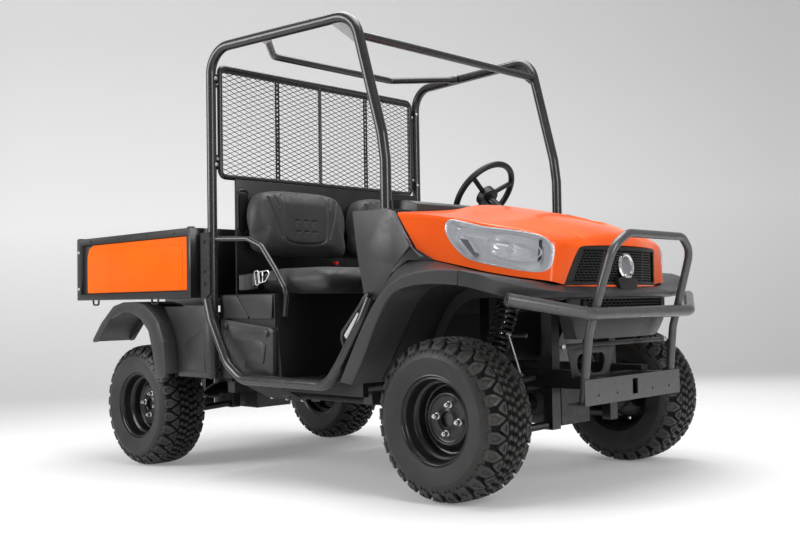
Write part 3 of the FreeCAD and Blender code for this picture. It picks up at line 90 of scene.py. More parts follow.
class Finish:
    def __init__(self, name, **constants):
        self.material = bpy.data.materials.new(name)
        self.material.use_nodes = True
        self.tree = self.material.node_tree
        self.tree.nodes.clear()
        self.shader = self.tree.nodes.new("ShaderNodeBsdfPrincipled")
        self.output = self.tree.nodes.new("ShaderNodeOutputMaterial")
        self.tree.links.new(self.shader.outputs[0], self.output.inputs["Surface"])
        for label, value in constants.items():
            self.shader.inputs[label.replace("_", " ")].default_value = value

    def node(self, kind, settings=None, inputs=None, output=0):
        made = self.tree.nodes.new("ShaderNode" + kind)
        for label, value in (settings or {}).items():
            if label == "stops":
                for i, (place, colour) in enumerate(value):
                    stop = made.color_ramp.elements[i] if i < 2 else made.color_ramp.elements.new(place)
                    stop.position = place
                    stop.color = colour
            else:
                setattr(made, label, value)
        for label, value in (inputs or {}).items():
            self.feed(made.inputs[label], value)
        return Wire(self.tree, made.outputs[output])

    def feed(self, socket, value):
        if isinstance(value, Wire):
            self.tree.links.new(value.out, socket)
        else:
            socket.default_value = value

    def place(self):
        return self.node("TexCoord", output=3)

    def noise(self, scale, detail=3.0):
        return self.node("TexNoise", {}, {"Vector": self.place(), "Scale": scale, "Detail": detail})

    def cells(self, scale):
        return self.node("TexVoronoi", {}, {"Vector": self.place(), "Scale": scale})

    def blend(self, factor, dark, light):
        return self.node("Mix", {"data_type": "RGBA"},
                         {"Factor": factor, 6: dark, 7: light}, output=2)

    def spread(self, value, low, high, clampTo=(0.0, 1.0)):
        return self.node("MapRange", {}, {0: value, 1: low, 2: high, 3: clampTo[0], 4: clampTo[1]})

    def colour(self, value):
        self.feed(self.shader.inputs["Base Color"], value)

    def rough(self, value):
        self.feed(self.shader.inputs["Roughness"], value)

    def bump(self, height, strength, distance):
        made = self.node("Bump", {}, {"Height": height, "Strength": strength, "Distance": distance})
        self.feed(self.shader.inputs["Normal"], made)


def rgba(red, green, blue):
    return (red, green, blue, 1.0)


# Finishes. Colours are linear.
def glossPaint(name, colour, deep, roughness=0.28, coat=0.2, bend=1.38):
    made = Finish(name, Coat_Weight=coat, Coat_Roughness=0.08, IOR=bend)
    tone = made.noise(3.0, 2.0)
    made.colour(made.blend(made.spread(tone, 0.35, 0.65), deep, colour))
    made.rough(made.spread(made.noise(60.0), 0.3, 0.7, (roughness, roughness + 0.06)))
    made.bump(made.noise(420.0, 1.0), 0.03, 0.0004)
    return made.material


def grainPlastic(name, colour, worn, roughness=0.5):
    made = Finish(name, Specular_IOR_Level=0.4)
    tone = made.spread(made.noise(5.0, 4.0), 0.3, 0.7)
    made.colour(made.blend(tone, colour, worn))
    made.rough(made.spread(made.noise(35.0, 4.0), 0.3, 0.7, (roughness - 0.05, roughness + 0.07)))
    made.bump(made.cells(900.0), 0.12, 0.0005)
    return made.material


def coatedSteel(name, colour, light, roughness=0.33, metal=0.55):
    made = Finish(name, Metallic=metal, Coat_Weight=0.25, Coat_Roughness=0.12)
    fleck = made.spread(made.noise(45.0, 4.0), 0.35, 0.7)
    made.colour(made.blend(fleck, colour, light))
    made.rough(made.spread(made.noise(18.0, 4.0), 0.3, 0.7, (roughness - 0.04, roughness + 0.06)))
    made.bump(made.noise(420.0, 2.0), 0.015, 0.0003)
    return made.material


# Silver; the last argument is painted light, a weak white emission that makes an unlit lamp part look lit.
def bowlSilver(name, colour, roughness, paintedGlow=0.0):
    made = Finish(name, Metallic=0.55, Emission_Color=rgba(1.0, 1.0, 1.0), Emission_Strength=paintedGlow)
    made.colour(made.blend(made.spread(made.noise(30.0, 3.0), 0.3, 0.7), colour,
                           rgba(*[c * 0.9 for c in colour[:3]])))
    made.rough(made.spread(made.noise(90.0, 3.0), 0.3, 0.7, (roughness, roughness + 0.06)))
    return made.material


def bareMetal(name, colour, roughness=0.25, scratch=0.04):
    made = Finish(name, Metallic=1.0)
    made.colour(made.blend(made.spread(made.noise(40.0, 4.0), 0.3, 0.7), colour,
                           rgba(*[min(1.0, c * 1.2) for c in colour[:3]])))
    made.rough(made.spread(made.noise(120.0, 4.0), 0.3, 0.7, (roughness - 0.04, roughness + 0.08)))
    made.bump(made.noise(500.0, 2.0), scratch, 0.0002)
    return made.material


def padVinyl(name, colour, light):
    made = Finish(name, Specular_IOR_Level=0.4, Sheen_Weight=0.08, Sheen_Roughness=0.4)
    made.colour(made.blend(made.spread(made.noise(7.0, 4.0), 0.3, 0.7), colour, light))
    pebble = made.cells(520.0)
    made.rough(made.spread(made.noise(25.0, 3.0), 0.3, 0.7, (0.42, 0.56)))
    made.bump(pebble + made.noise(1500.0, 2.0) * 0.4, 0.22, 0.0006)
    return made.material


def tyreRubber(name, colour, dusty, roughness):
    made = Finish(name, Specular_IOR_Level=0.35)
    dust = made.spread(made.noise(9.0, 5.0), 0.35, 0.7)
    made.colour(made.blend(dust, colour, dusty))
    made.rough(made.spread(made.noise(60.0, 3.0), 0.3, 0.7, (roughness, roughness + 0.12)))
    made.bump(made.noise(800.0, 3.0), 0.12, 0.0005)
    return made.material


def webCloth(name, colour, light):
    made = Finish(name, Sheen_Weight=0.3)
    ribs = made.node("TexWave", {"bands_direction": "Z"}, {"Vector": made.place(), "Scale": 160.0,
                                                          "Distortion": 1.0})
    made.colour(made.blend(ribs, colour, light))
    made.rough(made.spread(ribs, 0.0, 1.0, (0.7, 0.85)))
    made.bump(ribs, 0.4, 0.0006)
    return made.material


def clearLens(name):
    made = Finish(name, Metallic=1.0, Roughness=0.03)
    made.colour(rgba(0.95, 0.96, 0.98))
    see = made.tree.nodes.new("ShaderNodeBsdfTransparent")
    see.inputs[0].default_value = (0.97, 0.98, 1.0, 1.0)
    factor = made.node("Fresnel", {}, {"IOR": 1.5})
    mixed = made.tree.nodes.new("ShaderNodeMixShader")
    made.tree.links.new(factor.out, mixed.inputs[0])
    made.tree.links.new(see.outputs[0], mixed.inputs[1])
    made.tree.links.new(made.shader.outputs[0], mixed.inputs[2])
    made.tree.links.new(mixed.outputs[0], made.output.inputs["Surface"])
    return made.material


finishes = {
    "orange": glossPaint("orangePaint", rgba(0.95, 0.118, 0.006), rgba(0.86, 0.092, 0.004)),
    "bedOrange": glossPaint("bedPaint", rgba(1.0, 0.15, 0.0), rgba(0.96, 0.135, 0.0), 0.4, 0.04, 1.2),
    "blackPaint": glossPaint("blackPaint", rgba(0.014, 0.014, 0.015), rgba(0.010, 0.010, 0.011), 0.3),
    "darkPlastic": grainPlastic("darkPlastic", rgba(0.030, 0.030, 0.032), rgba(0.038, 0.038, 0.040), 0.36),
    "trimPlastic": grainPlastic("trimPlastic", rgba(0.13, 0.13, 0.14), rgba(0.15, 0.15, 0.16), 0.36),
    "blackPlastic": grainPlastic("blackPlastic", rgba(0.008, 0.008, 0.009), rgba(0.012, 0.012, 0.013), 0.42),
    "cageSteel": coatedSteel("cageSteel", rgba(0.016, 0.016, 0.017), rgba(0.022, 0.022, 0.024), 0.26, 0.05),
    "guardSteel": coatedSteel("guardSteel", rgba(0.066, 0.066, 0.069), rgba(0.082, 0.082, 0.085), 0.30, 0.2),
    # The reflector's small emission is painted light, so that the unlit lamp looks bright.
    "silver": bowlSilver("reflectorSilver", rgba(0.86, 0.87, 0.89), 0.12, 0.07),
    "discSilver": bowlSilver("discSilver", rgba(0.30, 0.31, 0.33), 0.2),
    # Near-black rubber for the tread carcass between the lugs: painted shade in the grooves.
    "grooveShadeRubber": tyreRubber("grooveShadeRubber", rgba(0.002, 0.002, 0.002), rgba(0.004, 0.004, 0.004), 0.9),
    "blackSteel": coatedSteel("blackSteel", rgba(0.010, 0.010, 0.011), rgba(0.014, 0.014, 0.015), 0.36, 0.15),
    "casting": coatedSteel("casting", rgba(0.035, 0.035, 0.036), rgba(0.06, 0.06, 0.06), 0.55, 0.3),
    "zinc": bareMetal("zincSteel", rgba(0.62, 0.62, 0.60), 0.28),
    "chrome": bareMetal("chromePlate", rgba(0.88, 0.88, 0.89), 0.06, 0.0),
    "vinyl": padVinyl("seatVinyl", rgba(0.034, 0.034, 0.036), rgba(0.044, 0.044, 0.046)),
    "tread": tyreRubber("treadRubber", rgba(0.030, 0.029, 0.028), rgba(0.046, 0.044, 0.042), 0.4),
    "sidewall": tyreRubber("sidewallRubber", rgba(0.022, 0.021, 0.020), rgba(0.034, 0.032, 0.031), 0.4),
    "webbing": webCloth("beltWebbing", rgba(0.012, 0.012, 0.013), rgba(0.03, 0.03, 0.03)),
    "red": grainPlastic("redPlastic", rgba(0.62, 0.02, 0.015), rgba(0.7, 0.03, 0.02), 0.35),
    "pale": grainPlastic("palePlate", rgba(0.62, 0.62, 0.61), rgba(0.7, 0.7, 0.69), 0.4),
    "lens": clearLens("clearLens"),
    # The rim's small emission is painted light too.
    "lampRim": bowlSilver("lampRim", rgba(0.78, 0.80, 0.83), 0.2, 0.10),
}
print("finishes made")


# Paths and points.
def mirrorPoint(point):
    return Vector((point[0], -point[1], point[2]))


def softPath(points, radius, closed=False, steps=6):
    # Corners turned into arcs of the given radius, or as large as their runs allow.
    points = [Vector(p) for p in points]
    count = len(points)
    made = []
    for i, here in enumerate(points):
        if not closed and i in (0, count - 1):
            made.append(here)
            continue
        back = points[i - 1] - here
        onward = points[(i + 1) % count] - here
        half = back.angle(onward) / 2
        if math.pi / 2 - half < 0.01:
            made.append(here)
            continue
        room = 0.48 * min(back.length, onward.length)
        size = min(radius, room * math.tan(half))
        centre = here + (back.normalized() + onward.normalized()).normalized() * (size / math.sin(half))
        start = here + back.normalized() * (size / math.tan(half)) - centre
        end = here + onward.normalized() * (size / math.tan(half)) - centre
        for k in range(steps + 1):
            made.append(centre + start.slerp(end, k / steps).normalized() * size)
    return made


def smoothLine(points, steps=6, closed=False):
    # A curve through every point.
    points = [Vector(p) for p in points]
    count = len(points)
    made = []
    for i in range(count if closed else count - 1):
        if closed:
            a, b, c, d = (points[(i + k) % count] for k in (-1, 0, 1, 2))
        else:
            a, b, c, d = (points[max(0, min(count - 1, i + k))] for k in (-1, 0, 1, 2))
        for k in range(steps):
            t = k / steps
            made.append(0.5 * ((2 * b) + (c - a) * t + (2 * a - 5 * b + 4 * c - d) * t * t
                               + (3 * b - a - 3 * c + d) * t ** 3))
    if not closed:
        made.append(points[-1])
    return made


def sideLoops(count):
    # Faces between two rings whose points are numbered one after the other.
    return [(i, (i + 1) % count, (i + 1) % count + count, i + count) for i in range(count)]


# Mesh pieces are gathered in a Build, then made into one object that rides on a body.
class Build:
    def __init__(self):
        self.mesh = bmesh.new()
        self.finishes = []

    def layer(self, finish):
        if finish not in self.finishes:
            self.finishes.append(finish)
        return self.finishes.index(finish)

    def faces(self, points, loops, finish):
        made = [self.mesh.verts.new(p) for p in points]
        layer = self.layer(finish)
        for loop in loops:
            face = self.mesh.faces.new([made[i] for i in loop])
            face.material_index = layer
        return made

    def grid(self, rows, finish, closed=False):
        wide = len(rows[0])
        loops = []
        for i in range(len(rows) - 1):
            for j in range(wide if closed else wide - 1):
                k = (j + 1) % wide
                loops.append((i * wide + j, i * wide + k, (i + 1) * wide + k, (i + 1) * wide + j))
        return self.faces([p for row in rows for p in row], loops, finish)

    def prism(self, outline, low, high, finish, axis="y"):
        # Outline of (x, z), (x, y) or (y, z) points, pushed along the axis left out.
        order = {"y": lambda a, b, c: (a, c, b), "z": lambda a, b, c: (a, b, c),
                 "x": lambda a, b, c: (c, a, b)}[axis]
        count = len(outline)
        points = [order(a, b, low) for a, b in outline] + [order(a, b, high) for a, b in outline]
        loops = [tuple(range(count))[::-1], tuple(range(count, 2 * count))]
        return self.faces(points, loops + sideLoops(count), finish)

    def slab(self, x0, x1, y0, y1, z0, z1, finish):
        return self.prism([(x0, z0), (x1, z0), (x1, z1), (x0, z1)], y0, y1, finish)

    def tube(self, points, radius, finish, sides=16, caps=True):
        # Round bar along a path, its rings carried along without twist.
        points = [Vector(p) for p in points]
        side = None
        rows = []
        for i, here in enumerate(points):
            ahead = (points[min(i + 1, len(points) - 1)] - points[max(i - 1, 0)]).normalized()
            if side is None:
                side = ahead.cross(Vector((0, 0, 1)))
                if side.length < 0.1:
                    side = ahead.cross(Vector((0, 1, 0)))
            side = (side - ahead * side.dot(ahead)).normalized()
            rise = ahead.cross(side)
            size = radius[i] if isinstance(radius, (list, tuple)) else radius
            rows.append([here + side * (size * math.cos(2 * math.pi * k / sides))
                         + rise * (size * math.sin(2 * math.pi * k / sides))
                         for k in range(sides)])
        made = self.grid(rows, finish, True)
        if caps:
            layer = self.layer(finish)
            for ring in (made[:sides][::-1], made[-sides:]):
                self.mesh.faces.new(ring).material_index = layer
        return made

    def turned(self, profile, centre, axis, finish, steps=48, closed=False):
        # Profile of (radius, distance along the axis) points, turned about the axis.
        axis = Vector(axis).normalized()
        across = axis.cross(Vector((0, 0, 1)))
        if across.length < 0.1:
            across = axis.cross(Vector((1, 0, 0)))
        across.normalize()
        third = axis.cross(across)
        rows = []
        for radius, along in profile:
            rows.append([Vector(centre) + axis * along + across * (radius * math.cos(2 * math.pi * k / steps))
                         + third * (radius * math.sin(2 * math.pi * k / steps)) for k in range(steps)])
        if closed:
            rows.append(rows[0])
        return self.grid(rows, finish, True)

    def bolt(self, place, axis, size, finish="zinc"):
        axis = Vector(axis).normalized()
        place = Vector(place)
        washer = [(0.01, 0), (size * 1.15, 0), (size * 1.15, size * 0.18), (0.01, size * 0.18)]
        self.turned(washer, place, axis, finish, 20)
        head = [(0.01, 0), (size * 0.85, 0), (size * 0.85, size * 0.62), (size * 0.7, size * 0.75),
                (0.01, size * 0.75)]
        self.turned(head, place, axis, finish, 6)

    def mirror(self):
        # Adds the same on the other side of the vehicle.
        both = bmesh.ops.duplicate(self.mesh, geom=self.mesh.verts[:] + self.mesh.edges[:] + self.mesh.faces[:])
        twins = [g for g in both["geom"] if isinstance(g, bmesh.types.BMVert)]
        for vert in twins:
            vert.co.y = -vert.co.y
        bmesh.ops.reverse_faces(self.mesh, faces=[g for g in both["geom"] if isinstance(g, bmesh.types.BMFace)])

    def crease(self, picked, amount):
        layer = (self.mesh.edges.layers.float.get("crease_edge")
                 or self.mesh.edges.layers.float.new("crease_edge"))
        for edge in self.mesh.edges:
            if picked(edge):
                edge[layer] = amount

    def make(self, name, body, slot, steps=(), weld=0.0, sharp=32, place=bodyFrame):
        if weld:
            bmesh.ops.remove_doubles(self.mesh, verts=self.mesh.verts[:], dist=weld)
        bmesh.ops.recalc_face_normals(self.mesh, faces=self.mesh.faces[:])
        mesh = bpy.data.meshes.new(name)
        self.mesh.to_mesh(mesh)
        self.mesh.free()
        for finish in self.finishes:
            mesh.materials.append(finishes[finish])
        piece = bpy.data.objects.new(name, mesh)
        bpy.context.scene.collection.objects.link(piece)
        settle(piece, steps, sharp, place)
        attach(piece, body)
        return piece


def keepResult(piece):
    # Keeps only what the modifiers make of the piece.
    ready = bpy.context.evaluated_depsgraph_get()
    mesh = bpy.data.meshes.new_from_object(piece.evaluated_get(ready))
    piece.modifiers.clear()
    piece.data = mesh
    for face in mesh.polygons:
        face.use_smooth = True


def settle(piece, steps, sharp, place):
    for kind, settings in steps:
        made = piece.modifiers.new(kind.title(), kind)
        for label, value in settings.items():
            setattr(made, label, value)
    keepResult(piece)
    piece.data.transform(place)
    piece.data.set_sharp_from_angle(angle=math.radians(sharp))


def bevel(width, segments=2, angle=35):
    return ("BEVEL", {"width": width, "segments": segments, "limit_method": "ANGLE",
                      "angle_limit": math.radians(angle), "harden_normals": False})


def subdivide(levels):
    return ("SUBSURF", {"levels": levels, "render_levels": levels})


def thicken(width):
    return ("SOLIDIFY", {"thickness": width, "offset": -1.0, "use_even_offset": True})


def cutWith(tool):
    return ("BOOLEAN", {"operation": "DIFFERENCE", "object": tool, "solver": "EXACT"})


def dress(finish, *names):
    # A CAD node whose form is right takes its finish here.
    for name in names:
        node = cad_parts[name]
        node.data.materials.clear()
        node.data.materials.append(finishes[finish])
        for face in node.data.polygons:
            face.use_smooth = True
            face.material_index = 0
        node.data.set_sharp_from_angle(angle=math.radians(32))


def soften(width, *names):
    # Small bevels on the sharp edges of a CAD node.
    for name in names:
        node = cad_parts[name]
        node.modifiers.new("Weld", "WELD").merge_threshold = 0.00005
        made = node.modifiers.new("Bevel", "BEVEL")
        made.width = width
        made.segments = 2
        made.limit_method = "ANGLE"
        made.angle_limit = math.radians(50)
        made.harden_normals = True


# Hood: half sections from the middle to the side's lower edge, rear to nose.
hood = {
    "sections": [
        [(-215, 0, 1158), (-213, 130, 1154), (-212, 215, 1146), (-212, 240, 1141), (-211, 262, 1136),
         (-211, 350, 1117), (-216, 683, 1094), (-168, 667, 1005), (-119, 651, 917)],
        [(-110, 0, 1140), (-110, 130, 1136), (-110, 215, 1127), (-110, 240, 1122), (-109, 264, 1115),
         (-105, 384, 1096), (-130, 634, 1086), (-99, 633, 1000), (-75, 627, 904)],
        [(0, 0, 1115), (0, 130, 1111), (0, 215, 1102), (0, 240, 1098), (0, 264, 1092),
         (5, 420, 1068), (0, 564, 1058), (5, 572, 970), (10, 580, 881)],
        [(58, 0, 1104), (75, 130, 1097), (105, 215, 1076), (120, 240, 1075), (125, 268, 1067),
         (85, 450, 1047), (85, 515, 1037), (88, 526, 948), (92, 537, 857)],
        [(74, 0, 1090), (91, 130, 1084), (118, 215, 1064), (132, 242, 1071), (138, 270, 1063),
         (100, 448, 1043), (101, 506, 1032), (104, 516, 943), (107, 528, 853)],
        [(190, 0, 1063), (190, 130, 1058), (190, 226, 1036), (190, 243, 1049), (190, 272, 1040),
         (188, 425, 1023), (187, 459, 1014), (190, 472, 928), (195, 480, 833)],
        [(288, 0, 1034), (286, 130, 1029), (281, 230, 1001), (280, 246, 1011), (277, 275, 1001),
         (268, 395, 998), (262, 418, 994), (268, 432, 910), (275, 435, 820)],
        [(368, 0, 1000), (360, 130, 994), (338, 232, 978), (334, 248, 983), (330, 275, 978),
         (324, 370, 962), (316, 391, 955), (318, 398, 890), (316, 409, 812)],
        [(390, 0, 951), (383, 130, 949), (364, 225, 947), (359, 248, 946), (351, 272, 943),
         (347, 279, 930), (341, 287, 912), (330, 305, 868), (316, 331, 800)],
        [(368, 0, 947), (361, 130, 945), (342, 222, 943), (337, 244, 942), (329, 266, 939),
         (325, 273, 928), (319, 281, 910), (308, 299, 868), (294, 325, 800)],
    ],
    "skin": 4.0,
    "lampOutline": [(-46, 593, 1032), (-34, 583, 1056), (5, 561, 1051), (82, 518, 1028), (158, 475, 1014),
                    (233, 434, 998), (279, 410, 981), (308, 396, 954), (318, 393, 928), (314, 400, 885),
                    (303, 410, 857), (272, 429, 846), (223, 460, 852), (148, 502, 869), (91, 533, 884),
                    (33, 564, 907), (-8, 582, 948), (-36, 593, 993)],
}
# The side of the hood is close to one plane, with these directions along it and out of it.
sideAhead = Vector((499, 292, 0)).normalized()
sideOut = Vector((0.503, -0.857, 0.115)).normalized()
sideUp = sideOut.cross(sideAhead).normalized()


def hoodRow(section):
    near = [Vector((x, -y, z)) for x, y, z in section]
    return near[::-1] + [mirrorPoint(p) for p in near[1:]]


def lampRing(scale, depth, side):
    # The lamp's outline shrunk about its middle and moved out of the hood's side.
    outline = [Vector((x, -y, z)) for x, y, z in hood["lampOutline"]]
    middle = sum(outline, Vector()) / len(outline)
    ring = [middle + (p - middle) * scale + sideOut * depth for p in smoothLine(outline, 4, True)]
    return [mirrorPoint(p) for p in ring] if side > 0 else ring


def makeHood():
    made = Build()
    rows = [hoodRow(section) for section in hood["sections"]]
    verts = made.grid(rows, "orange")
    wide = len(rows[0])
    column = {vert: i % wide for i, vert in enumerate(verts)}
    row = {vert: i // wide for i, vert in enumerate(verts)}

    def lengthways(edge, columns, fromRow=0, toRow=99):
        a, b = edge.verts
        return (column[a] == column[b] and column[a] in columns
                and fromRow <= min(row[a], row[b]) and max(row[a], row[b]) <= toRow)

    def across(edge, rowsPicked, fromColumn=0, toColumn=99):
        a, b = edge.verts
        return (row[a] == row[b] and row[a] in rowsPicked
                and fromColumn <= min(column[a], column[b]) and max(column[a], column[b]) <= toColumn)

    made.crease(lambda e: lengthways(e, (2, 14), 0, 7), 0.75)
    made.crease(lambda e: lengthways(e, (5, 6, 10, 11), 3, 7), 0.8)
    made.crease(lambda e: across(e, (3, 4), 5, 11), 0.8)
    made.crease(lambda e: across(e, (7,), 0, 16), 0.35)
    made.crease(lambda e: across(e, (8,), 0, 16), 0.85)
    made.crease(lambda e: e.is_boundary, 1.0)
    cutter = Build()
    for side in (-1, 1):
        rings = [lampRing(1.0, 60, side), lampRing(1.0, -160, side)]
        count = len(rings[0])
        ends = cutter.grid(rings, "orange", True)
        cutter.mesh.faces.new(ends[:count][::-1])
        cutter.mesh.faces.new(ends[count:])
    tool = cutter.make("lampCutter", "hood", "orange", place=Matrix.Identity(4))
    piece = made.make("hoodSkin", "hood", "orange",
                      [subdivide(3), thicken(hood["skin"]), cutWith(tool)], sharp=40)
    bpy.data.objects.remove(tool)
    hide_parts("hood_panel")


makeHood()
print("hood made")


def makeLamps():
    lamp = {"rimScale": 0.93, "wallDepth": -62, "bowl": (105, 46, 50), "bowlShift": (38, -6), "bowlTilt": 0.18,
            "lens": ((0.995, -1), (0.985, 2.5), (0.95, 4.5), (0.85, 8), (0.65, 12), (0.4, 14.5), (0.15, 15.5),
                     (0.01, 15.6))}
    for side, name in ((-1, "Right"), (1, "Left")):
        made = Build()
        ring = lampRing(1.0, -4, side)
        rings = [ring, lampRing(1.0, -1, side), lampRing(0.985, 1, side), lampRing(lamp["rimScale"], 0, side),
                 lampRing(lamp["rimScale"] - 0.01, -8, side)]
        made.grid(rings, "lampRim", True)
        walls = [lampRing(lamp["rimScale"] - 0.01, -8, side), lampRing(0.86, lamp["wallDepth"] + 8, side),
                 lampRing(0.8, lamp["wallDepth"], side)]
        made.grid(walls, "silver", True)
        back = lampRing(0.8, lamp["wallDepth"], side)
        made.faces(back, [tuple(range(len(back)))], "silver")
        middle = sum(lampRing(1.0, 0, -1), Vector()) / len(ring)

        def at(along, rise, out):
            point = middle + sideAhead * along + sideUp * rise + sideOut * out
            return mirrorPoint(point) if side > 0 else point

        def plate(outline, depth, thick, finish):
            count = len(outline)
            points = [at(a, b, depth) for a, b in outline] + [at(a, b, depth - thick) for a, b in outline]
            loops = [tuple(range(count)), tuple(range(count, 2 * count))[::-1]]
            made.faces(points, loops + sideLoops(count), finish)

        # Main reflector: a deep bowl with a broad lip, a bulb shade in it.
        reach, rise, deep = lamp["bowl"]
        over, up = lamp["bowlShift"]

        def bowlRing(scale, out):
            ring = []
            for i in range(40):
                t = 2 * math.pi * i / 40
                drop = lamp["bowlTilt"] * reach * scale * math.cos(t)
                ring.append(at(over + reach * scale * math.cos(t), up + rise * scale * math.sin(t) - drop, out))
            return ring

        lip = [bowlRing(scale, out) for scale, out in ((1.07, -26), (1.05, -9), (1.0, -10))]
        turns = [math.pi / 2 * k / 8 for k in range(1, 9)]
        bowl = [bowlRing(math.cos(turn), -10 - deep * math.sin(turn)) for turn in turns]
        made.grid(lip + bowl, "silver", True)
        bulb = [at(over - 8, -4, out) for out in (-56, -30, -22)]
        made.tube(bulb, [13, 13, 7], "silver", 20)
        # Rear section: slanted dividers, and a dark plate ahead of the bowl that stands for a slot, painted
        # shade in that opening.
        for shift in (0, 1, 2):
            plate([(-150 + 34 * shift, 62 - 14 * shift), (-138 + 34 * shift, 60 - 14 * shift),
                   (-92 + 34 * shift, -20 - 14 * shift), (-104 + 34 * shift, -18 - 14 * shift)],
                  -14 - 4 * shift, 30, "silver")
        plate([(-172, 64), (-60, 40), (-66, 30), (-172, 52)], -10, 26, "silver")
        plate([(-168, 40), (-128, 34), (-92, -28), (-110, -34)], -40, 6, "discSilver")
        plate([(139, 24), (151, 20), (146, -50), (132, -62)], -14, 10, "darkPlastic")
        made.make("lampBody" + name, "hood", "lamp", [bevel(1.2, 2)], sharp=30)
        cover = Build()
        cover.grid([lampRing(scale, out, side) for scale, out in lamp["lens"]], "lens", True)
        piece = cover.make("lampLens" + name, "hood", "lamp", sharp=60)
        if side < 0:
            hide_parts("headlamps")


makeLamps()
print("lamps made")


# Grille: a curved trapezoid of short slots, with a plain ringed disc.
grille = {"low": 797.0, "high": 946.0, "halfLow": 331.0, "halfHigh": 272.0, "cornerLow": 312.0,
          "cornerHigh": 347.0, "bulge": (58.0, 42.0), "rows": 12, "slots": 26, "discRadius": 45.0,
          "border": 0.055, "band": 0.085, "reach": 0.86}


def grillePoint(s, t, depth):
    half = grille["halfLow"] + (grille["halfHigh"] - grille["halfLow"]) * t
    corner = grille["cornerLow"] + (grille["cornerHigh"] - grille["cornerLow"]) * t
    bulge = grille["bulge"][0] + (grille["bulge"][1] - grille["bulge"][0]) * t
    return Vector((corner + bulge * (1 - s * s) - depth, s * half,
                   grille["low"] + (grille["high"] - grille["low"]) * t))


def curvedBar(made, pointAt, s0, s1, t0, t1, front, back, finish, steps=1):
    # One bar that follows the curve which pointAt gives.
    for i in range(steps):
        a = s0 + (s1 - s0) * i / steps
        b = s0 + (s1 - s0) * (i + 1) / steps
        corners = [pointAt(s, t, d) for d in (front, back) for s, t in ((a, t0), (b, t0), (b, t1), (a, t1))]
        loops = [(0, 1, 2, 3), (7, 6, 5, 4), (0, 4, 5, 1), (3, 2, 6, 7)]
        if i == 0:
            loops.append((0, 3, 7, 4))
        if i == steps - 1:
            loops.append((1, 5, 6, 2))
        made.faces(corners, loops, finish)


def makeGrille():
    made = Build()
    border, reach = grille["border"], grille["reach"]
    low, high = grille["band"], 1 - grille["band"]
    for t0, t1 in ((0.0, low), (high, 1.0)):
        curvedBar(made, grillePoint, -1, 1, t0, t1, -2, 30, "blackPlastic", 16)
    for s0, s1 in ((-1, -1 + border), (1 - border, 1)):
        curvedBar(made, grillePoint, s0, s1, low, high, -2, 30, "blackPlastic")
    for s in (-0.5, 0.5):
        curvedBar(made, grillePoint, s - 0.02, s + 0.02, low, high, 3, 16, "blackPlastic")
    for s0, s1 in ((-1 + border, -reach), (reach, 1 - border)):
        curvedBar(made, grillePoint, s0, s1, low, high, 8, 20, "blackPlastic")
    step = (high - low) / grille["rows"]
    for row in range(grille["rows"] + 1):
        t = low + step * row
        curvedBar(made, grillePoint, -reach, reach, t - 0.016, t + 0.016, 4, 14, "blackPlastic", 20)
        if row == grille["rows"]:
            continue
        for k in range(grille["slots"]):
            s = -reach + 2 * reach * (k + (0.5 if row % 2 else 0.0)) / grille["slots"]
            curvedBar(made, grillePoint, s - 0.006, s + 0.006, t, t + step, 5, 14, "blackPlastic")
    # A dark backing sheet close behind the slots: painted shade for the space behind the grille.
    curvedBar(made, grillePoint, -0.98, 0.98, 0.05, 0.95, 28, 31, "blackPlastic", 8)
    piece = made.make("grilleLattice", "hood", "black_plastic", [bevel(0.7, 1)], sharp=30)
    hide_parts("grille")
    badge = Build()
    centre = grillePoint(0, 0.5, 4)
    r = grille["discRadius"]
    ring = [(r + 8, -2), (r + 9, 5), (r + 5, 10), (r - 2, 11.5), (r - 7, 9), (r - 9, 3)]
    badge.turned(ring, centre, (1, 0, 0.1), "chrome", 64)
    badge.turned([(r - 8, 4), (r - 9, 6), (r * 0.6, 8.5), (r * 0.3, 10), (0.01, 10.5)], centre, (1, 0, 0.1),
                 "discSilver", 64)
    badge.make("grilleDisc", "hood", "black_plastic")
    latch = Build()
    shape = [(-72, 812), (-58, 826), (58, 826), (72, 812), (60, 786), (44, 778), (-44, 778), (-60, 786)]
    latch.prism(shape, 366, 392, "blackPlastic", "x")
    latch.make("hoodLatch", "hood", "black_plastic", [bevel(4, 3)])
    lip = Build()
    rows = []
    for depth, z in ((-4, 797), (-5, 790), (2, 787), (26, 787)):
        rows.append([Vector((grillePoint(s, 0, depth).x, s * 328, z)) for s in [i / 12 - 1 for i in range(25)]])
    lip.grid(rows, "orange")
    lip.make("hoodLip", "hood", "orange", [thicken(3)])


makeGrille()
print("grille made")


